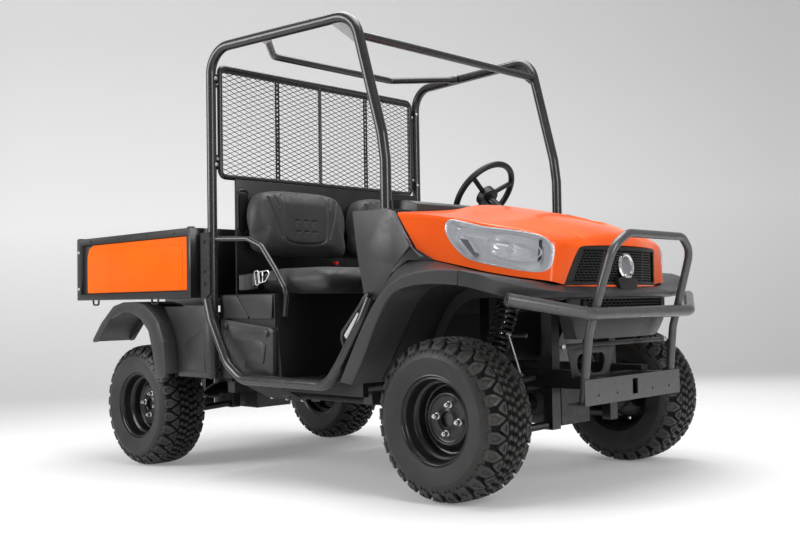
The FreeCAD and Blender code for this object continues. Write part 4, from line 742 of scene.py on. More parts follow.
# Front flares and nose: half stations from the flare's rear foot to the middle of the nose.
skin = {
    "inner": [(-480, 695, 434), (-415, 695, 545), (-360, 695, 640), (-300, 695, 770), (-240, 692, 860),
              (-160, 680, 908), (-60, 632, 902), (50, 570, 862), (150, 512, 838),
              (215, 478, 824), (262, 450, 816), (292, 425, 808), (306, 405, 802), (316, 370, 798),
              (330, 330, 794), (355, 240, 792), (386, 0, 790)],
    "crease": [(-459, 768, 434), (-396, 770, 538), (-341, 772, 626), (-266, 773, 735), (-200, 775, 795),
               (-134, 776, 837), (-48, 776, 858), (60, 772, 864), (160, 758, 855),
               (222, 730, 842), (258, 690, 824), (282, 640, 806), (306, 560, 792), (345, 470, 780),
               (382, 390, 770), (402, 270, 766), (412, 0, 764)],
    "edge": [(-399, 766, 423), (-328, 768, 519), (-288, 770, 600), (-249, 771, 666), (-205, 773, 735),
             (-150, 774, 782), (-83, 774, 805), (42, 770, 811), (150, 756, 800),
             (215, 730, 785), (248, 688, 768), (266, 635, 758), (288, 560, 750), (327, 470, 749),
             (368, 385, 750), (392, 270, 751), (404, 0, 751)],
    "under": [(-395, 600, 430), (-324, 600, 525), (-280, 600, 600), (-238, 600, 668), (-192, 600, 738),
              (-140, 600, 786), (-75, 590, 812), (45, 560, 818), (148, 520, 808),
              (208, 480, 792), (238, 450, 772), (245, 430, 758), (255, 410, 743), (290, 400, 741),
              (335, 360, 742), (356, 250, 743), (366, 0, 743)],
    "seamStation": 8,
    "thick": 3.5,
}


def makeFlares():
    stations = list(zip(skin["inner"], skin["crease"], skin["edge"], skin["under"]))
    seam = skin["seamStation"]

    def rowOf(station):
        inner, crease, edge, under = [Vector((x, -y, z)) for x, y, z in station]
        upper = inner.lerp(crease, 0.5) + Vector((0, 0, 2))
        near = crease.lerp(edge, 0.08) + (crease - inner).normalized() * 3
        return [inner, upper, crease, near, edge, under]

    def fold(made, verts):
        # Creases along the flare's ridge and lower edge.
        column = {vert: i % 6 for i, vert in enumerate(verts)}

        def along(edge, columns):
            a, b = edge.verts
            return column[a] == column[b] and column[a] in columns

        made.crease(lambda e: along(e, (2, 3)), 0.45)
        made.crease(lambda e: along(e, (4,)), 0.8)
        made.crease(lambda e: e.is_boundary, 1.0)

    fender = Build()
    fold(fender, fender.grid([rowOf(s) for s in stations[:seam + 1]], "darkPlastic"))
    fender.mirror()
    skinSteps = [subdivide(3), thicken(skin["thick"])]
    piece = fender.make("frontFlares", "chassis", "dark_plastic", skinSteps, sharp=40)
    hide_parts("front_fenders")
    nose = Build()
    rows = [rowOf(s) for s in stations[seam:]]
    rows[0] = [p + Vector((3, 0, 0)) for p in rows[0]]
    rows += [[mirrorPoint(p) for p in row] for row in rows[-2::-1]]
    fold(nose, nose.grid(rows, "darkPlastic"))
    piece = nose.make("noseSkin", "chassis", "dark_plastic", skinSteps, sharp=40)
    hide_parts("nose_fascia")


makeFlares()
print("flares made")


# Fill between cowl, flare and hood, the trim along the hood's edge, and liners over the wheels.
filler = {
    "shelf": ([(-292, 688, 752), (-256, 688, 820), (-222, 688, 888), (-180, 687, 922), (-139, 676, 957),
               (-112, 660, 936), (-88, 648, 919)],
              [(-302, 694, 772), (-270, 693, 818), (-240, 692, 858), (-200, 686, 885), (-160, 680, 905),
               (-110, 657, 905), (-62, 634, 901)]),
    "trimOuter": [(-262, 690, 1110), (-236, 690, 1081), (-188, 690, 1019), (-150, 689, 972), (-118, 676, 938),
                  (-96, 660, 917)],
    "trimInner": [(-219, 686, 1097), (-201, 683, 1063), (-171, 676, 1008), (-150, 670, 968), (-134, 664, 934),
                  (-122, 658, 915)],
    "linerStations": 9, "linerInner": 425.0,
}


def makeLiners():
    made = Build()
    made.grid([[Vector((x, -y, z)) for x, y, z in line] for line in filler["shelf"]], "darkPlastic")
    made.mirror()
    made.make("cowlShelf", "chassis", "dark_plastic", [thicken(3)], sharp=40)
    trim = Build()
    outer, near = filler["trimOuter"], filler["trimInner"]
    ridge = [tuple((Vector(a) + Vector(b)) / 2) for a, b in zip(outer, near)]
    trim.grid([[Vector((x, -y - out, z)) for x, y, z in smoothLine(line, 5)]
               for line, out in ((outer, 1.5), (ridge, 3.5), (near, 0.0))], "trimPlastic")
    trim.mirror()
    trim.make("hoodEdgeTrim", "chassis", "dark_plastic", [thicken(2.5)], sharp=50)
    liner = Build()
    rows = []
    inner = filler["linerInner"]
    for x, y, z in skin["under"][:filler["linerStations"]]:
        rows.append([Vector((x, -y + 2, z)), Vector((x, -0.5 * (y + inner), z - 2)),
                     Vector((x * 0.98, -inner, z - 14)), Vector((x * 0.9, 5 - inner, z - 60))])
    liner.grid(rows, "blackPlastic")
    liner.mirror()
    liner.make("wheelLiners", "chassis", "black_plastic", [thicken(3)], sharp=50)


makeLiners()
print("liners made")


# Tyres: a carcass turned about its axle, with rows of lugs laid along its crown.
tyre = {"radius": 306.0, "depth": 13.0, "pitches": 27, "rings": 120, "ringPitch": 4.5,
        "ridge": 1.6, "ridges": ((166, 172), (198, 203), (216, 221)),
        "outer": [(306, 0), (305.6, 30), (304, 60), (300, 82), (292, 99), (280, 111), (265, 119), (248, 124),
                  (232, 125.5), (216, 124.5), (200, 120.5), (186, 115.5), (176, 112), (168, 111.5)]}
tyre["line"] = smoothLine([(r, y, 0) for r, y in tyre["outer"]], 5)
tyre["reach"] = [0.0]
for a, b in zip(tyre["line"], tyre["line"][1:]):
    tyre["reach"].append(tyre["reach"][-1] + (b - a).length)


def crown(reach, sunk):
    # Radius and half width at a distance over the crown, sunk below its skin.
    side = -1 if reach < 0 else 1
    reach = min(abs(reach), tyre["reach"][-1] - 0.01)
    i = max(k for k, r in enumerate(tyre["reach"][:-1]) if r <= reach)
    a, b = tyre["line"][i], tyre["line"][i + 1]
    share = (reach - tyre["reach"][i]) / (tyre["reach"][i + 1] - tyre["reach"][i])
    run = (b - a).normalized()
    point = a.lerp(b, share) - Vector((run.y, -run.x, 0)) * sunk
    return point.x, side * point.y


def treadDepth(reach):
    reach = abs(reach)
    if reach < 100:
        return tyre["depth"]
    return max(0.0, tyre["depth"] * (1 - (reach - 100) / 62))


def makeTyre(name, x, y):
    made = Build()

    def at(reach, along, sunk):
        radius, half = crown(reach, sunk)
        turn = along / tyre["radius"]
        return Vector((x + radius * math.sin(turn), y + half, tyre["radius"] + radius * math.cos(turn)))

    def lug(outline, along, side, dip=0.0, inset=0.5):
        outline = [(side * s, along + a) for s, a in outline]
        if side < 0:
            outline = outline[::-1]
        count = len(outline)
        middle = (sum(s for s, a in outline) / count, sum(a for s, a in outline) / count)
        rings = [[at(s, a, treadDepth(s) + 1.5) for s, a in outline]]
        for scale, sunk in ((0.93, 1.4), (0.87, 0), (inset, 0), (inset - 0.08, dip))[:4 if dip else 2]:
            rings.append([at(middle[0] + (s - middle[0]) * scale, middle[1] + (a - middle[1]) * scale, sunk)
                          for s, a in outline])
        verts = made.grid(rings, "tread", True)
        made.mesh.faces.new(verts[-count:]).material_index = made.layer("tread")

    pitch = 2 * math.pi * tyre["radius"] / tyre["pitches"]
    steps = tyre["rings"]
    reaches = [k * tyre["ringPitch"] for k in range(-38, 39)]
    last = tyre["reach"][-1] - 0.5
    reaches = [-last] + [r for r in reaches if abs(r) < last] + [last]
    rows = []
    for reach in reaches:
        ridge = tyre["ridge"] if any(low < abs(reach) < high for low, high in tyre["ridges"]) else 0.0
        rows.append([at(reach, 2 * math.pi * tyre["radius"] * k / steps, treadDepth(reach) - ridge)
                     for k in range(steps)])
    # The carcass is painted near black as shade in the grooves; the lugs keep the rubber's own colour.
    made.grid(rows, "grooveShadeRubber", True)
    wall = made.layer("sidewall")
    for face in made.mesh.faces:
        radius = sum((v.co - Vector((x, v.co.y, tyre["radius"]))).length for v in face.verts) / len(face.verts)
        if radius < 270:
            face.material_index = wall
    for k in range(tyre["pitches"]):
        along = k * pitch
        for side in (-1, 1):
            shift = along + (pitch / 4 if side > 0 else 0)
            lug([(52, -24), (52, 24), (60, 27), (90, 7), (92, 0), (90, -7), (60, -27)], shift, side, 5.0)
            lug([(63, -3), (63, 3), (95, 23), (110, 25), (124, 25), (139, 23), (139, -23), (124, -25),
                 (110, -25), (95, -23)], shift + pitch / 2, side, 4.5, 0.46)
            for a in (-12, 12):
                rib = [(118, a - 1.6), (118, a + 1.6), (136, a + 1.6), (152, a + 1.4), (152, a - 1.4),
                       (136, a - 1.6)]
                lug(rib, shift + pitch / 2, side)
            for half in (0, pitch / 2):
                lug([(27, -2), (38, -12), (47, -4), (47, 13), (38, 5), (27, 15)], shift + half, side)
                lug([(3, -12), (12, -3), (23, -12), (23, 5), (12, 14), (3, 5)], shift + half + 8, side)
    piece = made.make("tread" + name, "wheel_" + name, "tyre", sharp=34, place=levelFrame)
    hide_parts("tyre_" + name)


# Wheels: double-lipped black rims with a ringed centre, four nuts and a deep bore.
rim = {"front": [(169, 96), (172, 103), (173, 108), (171, 112), (167, 113), (164, 110), (162.5, 105),
                 (159, 103), (156, 104), (153, 101), (150.5, 95), (149, 86), (148, 62), (145, 57),
                 (139, 53), (134, 48),
                 (131.5, 40), (131, 22), (129, 15), (124, 13), (117, 18), (108, 27), (101, 33.5), (97, 36.5),
                 (92, 37), (88.5, 35), (86, 31), (80, 29), (62, 28.5), (50, 29), (43, 31), (37, 35), (33, 36.5),
                 (30.5, 35), (30, 30), (30, 7), (0.05, 6)],
       "back": [(0.05, 3), (62, 0.5), (100, 4), (122, -2), (132, -8), (132, -52), (148, -62), (148, -98),
                (166, -112), (171, -112), (171, -106), (153, -95), (153, -62), (137, -53), (137, 53),
                (152.5, 62), (152.5, 92), (169, 96)],
       "nutCircle": 55.0, "nutFace": 28.4, "ventCircle": 117.0, "vents": 10}


def makeRim(name, x, y):
    out = -1 if y < 0 else 1
    centre = (x, y, tyre["radius"])

    def around(circle, turn, off=0.0):
        return Vector((x + circle * math.cos(turn), y + off, tyre["radius"] + circle * math.sin(turn)))

    tools = Build()
    for k in range(rim["vents"]):
        turn = 2 * math.pi * (k + 0.5) / rim["vents"]
        spot = around(rim["ventCircle"], turn)
        tools.turned([(0.01, -30), (8, -30), (8, 60), (0.01, 60)], spot, (0, out, 0), "blackPaint", 16)
    tool = tools.make("ventCutter" + name, "wheel_" + name, "wheel_steel", weld=0.1, place=Matrix.Identity(4))
    made = Build()
    made.turned(rim["front"] + rim["back"][:-1], centre, (0, out, 0), "blackPaint", 96, closed=True)
    piece = made.make("rim" + name, "wheel_" + name, "wheel_steel", [cutWith(tool)], weld=0.2, sharp=38,
                      place=levelFrame)
    bpy.data.objects.remove(tool)
    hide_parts("rim_" + name)
    nuts = Build()
    for k in range(4):
        turn = math.radians(80 + 90 * k)
        spot = around(rim["nutCircle"], turn, out * rim["nutFace"])
        axis = Vector((0, out, 0))
        nuts.turned([(0.01, 0), (15, 0), (14.5, 3), (12, 5), (0.01, 5)], spot, axis, "zinc", 24)
        nuts.turned([(0.01, 4), (11.5, 4), (11.5, 16), (9, 19.5), (0.01, 20)], spot, axis, "zinc", 6)
        nuts.turned([(0.01, 19), (6, 19), (6, 24), (5, 25.5), (0.01, 26)], spot, axis, "zinc", 16)
    nuts.make("nuts" + name, "wheel_" + name, "bright_steel", sharp=30, place=levelFrame)


wheelPlaces = (("front_right", 0.0, -617.5), ("front_left", 0.0, 617.5),
               ("rear_right", -2045.0, -615.0), ("rear_left", -2045.0, 615.0))
for name, x, y in wheelPlaces:
    makeTyre(name, x, y)
    makeRim(name, x, y)
print("wheels made")


# Rear screen: tube frame, three uprights and expanded mesh between them.
screen = {"x": -1402.0, "half": 655.0, "low": 1352.0, "high": 1876.0, "tube": 13.0, "postHalf": 704.0,
          "diamond": (58.0, 23.0), "strand": 2.0, "uprights": (-310.0, -24.0, 300.0), "tabInset": 82.0}


def makeScreen():
    made = Build()
    x, half, low, high = (screen[k] for k in ("x", "half", "low", "high"))
    corners = [(x, -half, low), (x, half, low), (x, half, high), (x, -half, high)]
    loop = softPath(corners, 30, True)
    made.tube(loop + loop[:1], screen["tube"], "cageSteel", 18, caps=False)
    wide, tall = screen["diamond"]
    columns = int(2 * half / wide) + 1
    rows = int(2 * (high - low) / tall)
    for k in range(rows):
        points = []
        for j in range(2 * columns + 1):
            y = -half + j * half / columns
            z = low + (k + 0.5) * (high - low) / rows + (1 if (j + k) % 2 else -1) * (high - low) / rows / 2
            points.append((x, y, z))
        made.tube(points, screen["strand"], "cageSteel", 5)
    for y in (screen["uprights"][0], screen["uprights"][2]):
        for side in (-1, 1):
            made.slab(x + 2, x + 6, y + side * 9 - 4, y + side * 9 + 4, low, high, "cageSteel")
        count = 24
        for k in range(count + 1):
            z = low + (high - low) * k / count
            made.slab(x + 2.3, x + 5.7, y - 8, y + 8, max(low, z - 6), min(high, z + 6), "cageSteel")
    made.slab(x - 4, x + 5, -half + 8, half - 8, high - 26, high + 4, "cageSteel")
    for k in range(7):
        made.bolt((x + 5, -540 + 180 * k, high - 12), (1, 0, 0), 5, "blackSteel")
    y = screen["uprights"][1]
    made.tube([(x, y, low), (x, y, high)], 9, "cageSteel", 14)
    for side in (-1, 1):
        for z in (low + screen["tabInset"], high - screen["tabInset"]):
            ends = sorted((side * half, side * (screen["postHalf"] - 23.3)))
            made.slab(x - 3, x + 3, ends[0], ends[1], z - 20, z + 20, "cageSteel")
            made.bolt((x + 3, side * (half + 18), z), (1, 0, 0), 8)
    piece = made.make("screenMesh", "chassis", "cage_steel", sharp=40)
    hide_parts("rear_screen")


makeScreen()
print("screen made")


# Seats: pads blown up as cloth, then their sewn channels pressed in.
seat = {
    "voxel": 0.0075, "pressure": 1.5, "frames": 14, "cap": 0.010, "fill": 0.7,
    "inset": 14.0, "apart": 18,
    "backX": -1308, "backFoot": 968, "backThick": 112,
    "cushionX": -1188, "cushionFoot": 798, "cushionThick": 98,
    "back": [(30, 10), (12, 110), (14, 210), (60, 292), (150, 312), (300, 316), (450, 312), (542, 290),
             (584, 210), (580, 110), (560, 30), (430, 8), (300, 2), (150, 4)],
    "cushion": [(14, 20), (8, 120), (8, 300), (16, 430), (60, 470), (200, 480), (400, 480), (540, 468),
                (582, 430), (588, 300), (586, 120), (576, 20), (400, 8), (200, 8)],
    "backChannels": [[(430, 292), (440, 240), (432, 130), (410, 74), (300, 60), (190, 74), (168, 130),
                      (160, 240), (170, 292)],
                     [(86, 276), (112, 200), (150, 96)], [(514, 276), (488, 200), (450, 96)],
                     [(126, 286), (140, 240)], [(474, 286), (460, 240)]],
    "cushionChannels": [[(70, 40), (90, 240), (80, 440)], [(530, 40), (510, 240), (520, 440)],
                        [(90, 170), (300, 190), (510, 170)]],
    "layers": ((0.0, 2.4), (0.06, 1.2), (0.2, 0.3), (0.55, 0.0), (0.82, 0.6), (0.95, 1.8), (1.0, 3.4)),
}


def padForm(outline, place, thick):
    # Closed pad from an outline, rounded towards both faces.
    made = Build()
    loop = smoothLine([(a, b, 0) for a, b in outline], 5, True)
    middle = sum(loop, Vector()) / len(loop)
    rows = []
    for share, shrink in seat["layers"]:
        ring = []
        for p in loop:
            drawn = p - middle
            keep = 1 - shrink * seat["inset"] / max(drawn.length, 1.0)
            ring.append(place(middle.x + drawn.x * keep, middle.y + drawn.y * keep, share * thick))
        rows.append(ring)
    verts = made.grid(rows, "vinyl", True)
    count = len(loop)
    made.mesh.faces.new(verts[:count][::-1])
    made.mesh.faces.new(verts[-count:])
    return made


def blow(piece):
    # Cloth inflation with each point's travel capped.
    remesh = piece.modifiers.new("Remesh", "REMESH")
    remesh.mode = "VOXEL"
    remesh.voxel_size = seat["voxel"]
    keepResult(piece)
    start = [v.co.copy() for v in piece.data.vertices]
    cloth = piece.modifiers.new("Cloth", "CLOTH")
    cloth.settings.use_pressure = True
    cloth.settings.uniform_pressure_force = seat["pressure"]
    cloth.settings.effector_weights.gravity = 0
    cloth.settings.quality = 6
    scene = bpy.context.scene
    for k in range(1, seat["frames"] + 1):
        scene.frame_set(k)
    keepResult(piece)
    for vert, rest in zip(piece.data.vertices, start):
        travel = vert.co - rest
        if travel.length > seat["cap"]:
            vert.co = rest + travel.normalized() * seat["cap"]
    scene.frame_set(1)
    smooth = piece.modifiers.new("Smooth", "SMOOTH")
    smooth.factor = 0.5
    smooth.iterations = 4
    extra = piece.modifiers.new("Finer", "SUBSURF")
    extra.levels = 1
    keepResult(piece)


def press(piece, facing, flat, lines, width, deep):
    # Pushes the vertices near each line in, on the face that looks the given way.
    back = bodyFrame.inverted()
    turned = (bodyFrame.to_3x3() @ Vector(facing)).normalized()
    spots = []
    for line in lines:
        for a, b in zip(line, line[1:]):
            count = max(1, int((b - a).length / 1.5))
            spots += [a.lerp(b, k / count) for k in range(count)]
        spots.append(line[-1])
    tree = KDTree(len(spots))
    for i, spot in enumerate(spots):
        tree.insert(spot, i)
    tree.balance()
    for vert in piece.data.vertices:
        if vert.normal.dot(turned) < 0.5:
            continue
        near = tree.find(flat(back @ vert.co))[2]
        if near < width * 2:
            vert.co -= turned * (deep * 0.001 * math.exp(-(near / width) ** 2 * 2))


def makeSeats():
    apart, foot = seat["apart"], seat["backFoot"]
    for side, name in ((-1, "Right"), (1, "Left")):
        def backPlace(a, b, deep):
            return Vector((seat["backX"] + (316 - b) * 0.055 + deep, side * (apart + a), foot + b))

        back = padForm(seat["back"], backPlace, seat["backThick"]).make("seatBack" + name, "chassis", "vinyl")
        blow(back)
        lines = [smoothLine([(a, b, 0) for a, b in line], 5) for line in seat["backChannels"]]

        def backFlat(p):
            return Vector((abs(p.y) - apart, p.z - foot, 0))

        press(back, (1, 0, 0), backFlat, lines, 6.0, 9.0)
        marks = []
        for column in (-52, 0, 52):
            for row in (0, 52):
                a, b = 300 + column, 108 + row
                marks.append([Vector((a - 14, b + 12, 0)), Vector((a + 12, b + 12, 0)),
                              Vector((a + 6, b - 10, 0))])
        press(back, (1, 0, 0), backFlat, marks, 4.0, 6.0)

        def cushionPlace(a, b, deep):
            drop = 14 * max(0.0, (b - 330) / 150) ** 2
            return Vector((seat["cushionX"] + b, side * (apart + a),
                           seat["cushionFoot"] + deep - drop * deep / 100))

        cushion = padForm(seat["cushion"], cushionPlace, seat["cushionThick"]).make(
            "seatCushion" + name, "chassis", "vinyl")
        blow(cushion)
        lines = [smoothLine([(a, b, 0) for a, b in line], 5) for line in seat["cushionChannels"]]

        def cushionFlat(p):
            return Vector((abs(p.y) - apart, p.x - seat["cushionX"], 0))

        press(cushion, (0, 0, 1), cushionFlat, lines, 7.0, 5.0)
    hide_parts("seat_backs")
    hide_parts("seat_cushions")


makeSeats()
print("seats made")


def flatOutline(points, radius):
    return [(p.x, p.y) for p in softPath([(a, b, 0) for a, b in points], radius, True, 5)]


def leant(x, y, z):
    # A point of the leaning body, on the level axes that carry the wheels.
    return levelFrame.inverted() @ (bodyFrame @ Vector((x, y, z)))


# Cargo bed: orange side panels on black backing, with caps and bolts on the posts.
bed = {"outer": 756.0, "inner": 732.0, "rear": -2545.6, "front": -1530.6, "low": 811.2, "high": 1075.4,
       "panel": [(-2486, 816), (-1534, 816), (-1534, 1073), (-2424, 1073), (-2466, 1056), (-2486, 1012)],
       "field": [(-2448, 850), (-1576, 856), (-1572, 1036), (-2392, 1040), (-2432, 1024), (-2448, 984)],
       "railBolts": (-2440, -2160, -1880, -1640), "tags": 11, "tagPitch": 92}


def makeBed():
    made = Build()
    panel = flatOutline(bed["panel"], 14)
    field = flatOutline(bed["field"], 12)
    made.prism(panel, -bed["outer"], -bed["outer"] + 10, "bedOrange")
    made.prism(field, -bed["outer"] - 2.6, -bed["outer"] + 4, "bedOrange")
    made.slab(bed["rear"], bed["front"], -bed["outer"] + 5, -bed["inner"], bed["low"], bed["high"],
              "blackSteel")
    made.mirror()
    piece = made.make("bedPanels", "bed", "orange_steel", [bevel(2.4, 3)])
    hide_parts("bed_sides")
    trim = Build()
    trim.slab(-1528, -1502, -760, -734, 1111, 1118, "blackSteel")
    trim.slab(-2586, -2550, -760, -734, 1111, 1116, "blackSteel")
    for z in (840, 1040):
        trim.bolt((-2570, -762, z), (0, -1, 0), 8)
    for x in bed["railBolts"]:
        trim.bolt((x, -762, 1094), (0, -1, 0), 6, "blackSteel")
    for k in range(bed["tags"]):
        x = -2500 + bed["tagPitch"] * k
        trim.slab(x, x + 60, -760, -752, 782, 803, "blackSteel")
    trim.mirror()
    trim.make("bedTrim", "bed", "black_steel", [bevel(1.5, 2)])


makeBed()
print("bed made")


# Cab details: tier over the service doors, recess, handles, steps and belts.
cab = {
    "tiers": (([(-1238, 785), (-978, 785), (-988, 680), (-1140, 680)], 8, -690, "darkPlastic"),
              ([(-1346, 786), (-1243, 785), (-1145, 680), (-1338, 681)], 8, -690, "darkPlastic"),
              ([(-972, 786), (-966, 640), (-962, 640), (-966, 786)], 1, -688, "blackPlastic")),
    "slot": [(-604, 1092), (-556, 1092), (-556, 1270), (-604, 1270)],
    "handle": [(-352, -702, 778), (-378, -705, 762), (-402, -706, 730), (-503, -708, 626), (-506, -708, 600),
               (-494, -706, 566), (-462, -706, 540)],
    "handlePlate": [(-413, 706), (-386, 694), (-458, 598), (-480, 601), (-494, 613)],
    "buckles": ([(-1118, -680, 892), (-1086, -684, 896), (-1079, -684, 834), (-1105, -680, 828)],
                [(-1079, -684, 889), (-1014, -686, 893), (-1001, -686, 878), (-1030, -686, 846),
                 (-1074, -684, 838)]),
    "stepBars": (6, 24), "beltTurns": 1.7, "beltReach": (50, 27), "beltHalf": 33,
}


def makeBoxTier():
    made = Build()
    for outline, radius, outer, finish in cab["tiers"]:
        made.prism(flatOutline(outline, radius), outer, -680.2, finish)
    # A black block in the gap between the cab wall and the engine side panel: painted shade filling that gap.
    made.slab(-1424, -1334, -640, -610, 600, 775, "blackPlastic")
    made.mirror()
    made.make("boxTier", "chassis", "dark_plastic", [bevel(2.5, 3)])


def makeRecess():
    ribs = Build()
    for y0, y1 in ((-612, -548), (-330, -290)):
        loop = softPath([(-1328, y0, 1080), (-1328, y1, 1080), (-1328, y1, 1285), (-1328, y0, 1285)], 26, True)
        ribs.tube(loop + loop[:1], 6, "blackSteel", 12, caps=False)
    ribs.prism(flatOutline(cab["slot"], 18), -1331, -1324, "blackPaint", "x")
    ribs.mirror()
    ribs.make("wallRecess", "chassis", "black_steel", sharp=40)


def makeHandles():
    hold = Build()
    hold.tube(softPath(cab["handle"], 20), 9.5, "cageSteel", 14)
    hold.prism(flatOutline(cab["handlePlate"], 5), -713, -710, "pale")
    hold.mirror()
    hold.make("grabHandles", "chassis", "cage_steel", [bevel(0.8, 1)])


def makeSteps():
    step = Build()
    rows, columns = cab["stepBars"]

    def stepPoint(u, v):
        x = (-1235 + 261 * u) * (1 - v) + (-1122 + 241 * u) * v
        return Vector((x, -668 + 72 * v, 386 - 66 * v))

    for i in range(rows + 1):
        step.tube([stepPoint(u / 8, i / rows) for u in range(9)], 2.6, "blackSteel", 6)
    for k in range(columns + 1):
        step.tube([stepPoint(k / columns, v / 3) for v in range(4)], 2.6, "blackSteel", 6)
    for spot in (stepPoint(0.06, 1.0), stepPoint(0.94, 1.0), stepPoint(0.5, 1.0)):
        step.bolt(spot, (0, -0.7, -0.7), 7)
    step.mirror()
    step.make("stepPlates", "chassis", "black_steel", sharp=40)


def makeBelts():
    belt = Build()
    rows = []
    long, short = cab["beltReach"]
    half = cab["beltHalf"]
    for k in range(61):
        turn = 2 * math.pi * cab["beltTurns"] * k / 60 + 0.6
        grow = 1 + 0.09 * k / 60
        spot = Vector((-1196 + long * grow * math.cos(turn), -654 + short * grow * math.sin(turn), 848))
        out = Vector((math.cos(turn) / long, math.sin(turn) / short, 0)).normalized()
        tip = 5 * math.sin(turn)
        top, foot = (spot + Vector((0, 0, side * half + tip)) for side in (1, -1))
        rows.append([top, top + out * 1.8, foot + out * 1.8, foot])
    verts = belt.grid(rows, "webbing", True)
    belt.mesh.faces.new(verts[:4][::-1]).material_index = belt.layer("webbing")
    belt.mesh.faces.new(verts[-4:]).material_index = belt.layer("webbing")
    strap = [(-1148, -668, 850), (-1120, -676, 856), (-1092, -680, 862)]
    corners = ((24, 1), (24, -1), (-24, -1), (-24, 1))
    rows = [[p + Vector((0, thick, rise)) for rise, thick in corners] for p in smoothLine(strap, 4)]
    belt.grid(rows, "webbing", True)
    for loop in cab["buckles"]:
        soft = softPath(loop, 9, True)
        belt.tube(soft + soft[:1], 3.0, "zinc", 10, caps=False)
    belt.tube([(-1050, -685, 889), (-1052, -685, 842)], 3, "chrome", 8)
    belt.slab(-1182, -1150, -152, -128, 893, 932, "blackPlastic")
    belt.slab(-1178, -1154, -148, -132, 932, 946, "red")
    belt.mirror()
    belt.make("seatBelts", "chassis", "black_plastic", [bevel(1.0, 2, 50)], sharp=45)


makeBoxTier()
makeRecess()
makeHandles()
makeSteps()
makeBelts()
print("cab details made")


# Running gear: coil springs over their dampers, shaft boots and stabiliser links.
gear = {"spring": 42.0, "wire": 6.0, "turns": 8.5, "body": 24.0, "rod": 9.0, "folds": 6,
        "dampers": ((0.0, 433.2, 738.0), (-2045.0, 427.8, 680.0)),
        "shafts": (((0, -152.6, 326), (0, -525, 306)), ((-2045, -179, 288), (-2045, -469, 306))),
        "linkTop": (60, -350, 612), "linkLow": (74, -292, 449)}


def makeSprings():
    made = Build()
    for x, lowZ, highZ in gear["dampers"]:
        start = Vector((x, -400, lowZ))
        end = leant(x, -262, highZ)
        along = end - start
        span = along.length
        along.normalize()
        side = along.cross(Vector((1, 0, 0))).normalized()
        third = along.cross(side)
        body, rod = gear["body"], gear["rod"]
        made.turned([(0.05, 0), (14, 0), (16, 6), (body, 20), (body, span * 0.5), (20, span * 0.52),
                     (0.05, span * 0.53)], start, along, "blackPaint", 28)
        made.turned([(0.05, span * 0.5), (rod, span * 0.5), (rod, span - 20), (0.05, span - 20)],
                    start, along, "chrome", 18)
        for low, high in ((0.3, 0.33), (0.93, 0.96)):
            made.turned([(0.05, span * low), (47, span * low), (49, span * low + 3), (47, span * high),
                         (0.05, span * high)], start, along, "blackSteel", 32)
        made.turned([(0.05, span * 0.96), (22, span * 0.96), (18, span - 1), (0.05, span - 1)], start, along,
                    "blackSteel", 20)
        count = 220
        coil = []
        for k in range(count + 1):
            turn = 2 * math.pi * gear["turns"] * k / count
            coil.append(start + along * (span * (0.34 + 0.585 * k / count))
                        + side * (gear["spring"] * math.cos(turn)) + third * (gear["spring"] * math.sin(turn)))
        made.tube(coil, gear["wire"], "blackPaint", 8)
    made.mirror()
    piece = made.make("springs", "chassis", "black_steel", place=levelFrame, sharp=45)
    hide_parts("coil_dampers")


def makeBoots():
    boots = Build()
    for inboard, outboard in gear["shafts"]:
        start = leant(*inboard)
        along = Vector(outboard) - start
        span = along.length
        for low, high, wide, narrow in ((0.2, 0.42, 40, 20), (0.64, 0.84, 20, 42)):
            profile = [(15.5, span * low)]
            count = gear["folds"] * 2
            for k in range(count + 1):
                share = k / count
                radius = wide + (narrow - wide) * share + (3.5 if k % 2 else -2.5)
                profile.append((radius, span * (low + (high - low) * share)))
            profile.append((15.5, span * high))
            boots.turned(profile, start, along, "blackPlastic", 32)
    boots.mirror()
    boots.make("shaftBoots", "chassis", "black_plastic", place=levelFrame, sharp=60)


def makeLinks():
    links = Build()
    top, low = Vector(gear["linkTop"]), Vector(gear["linkLow"])
    links.tube([top, low], 4.5, "zinc", 12)
    for spot in (top, low):
        ball = [(0.05, -12), (8, -10), (12, -4), (12, 4), (8, 10), (0.05, 12)]
        links.turned(ball, spot, (1, 0, 0), "zinc", 18)
    links.tube(softPath([top + Vector((-6, 0, 0)), (58, -320, 606), (56, -236, 602)], 20), 7, "blackSteel", 12)
    links.bolt((56, -232, 602), (0, -1, 0), 9)
    links.mirror()
    links.make("stabiliserLinks", "chassis", "bright_steel", sharp=40)


makeSprings()
makeBoots()
makeLinks()
print("running gear made")


# Nose underside: chin with a barred intake, cross beam and the shroud plate behind the guard.
chin = {"half": 345.0, "side": 352.0, "bulge": 48.0, "high": 749.0, "intakeLow": 688.0, "low": 593.0,
        "intake": 0.87, "rows": 5, "slots": 22,
        "shroud": [(-353, 560), (-33, 560), (-74, 450), (-319, 450)],
        "shroudHole": [(-296, 538), (-90, 538), (-118, 462), (-286, 462)]}


def chinPoint(s, z, depth):
    drop = max(0.0, (chin["intakeLow"] - z) / (chin["intakeLow"] - chin["low"]))
    half = chin["half"] * (1 - 0.16 * drop ** 1.6)
    return Vector((chin["side"] + chin["bulge"] * (1 - s * s) - depth - 14 * drop ** 2, s * half, z))


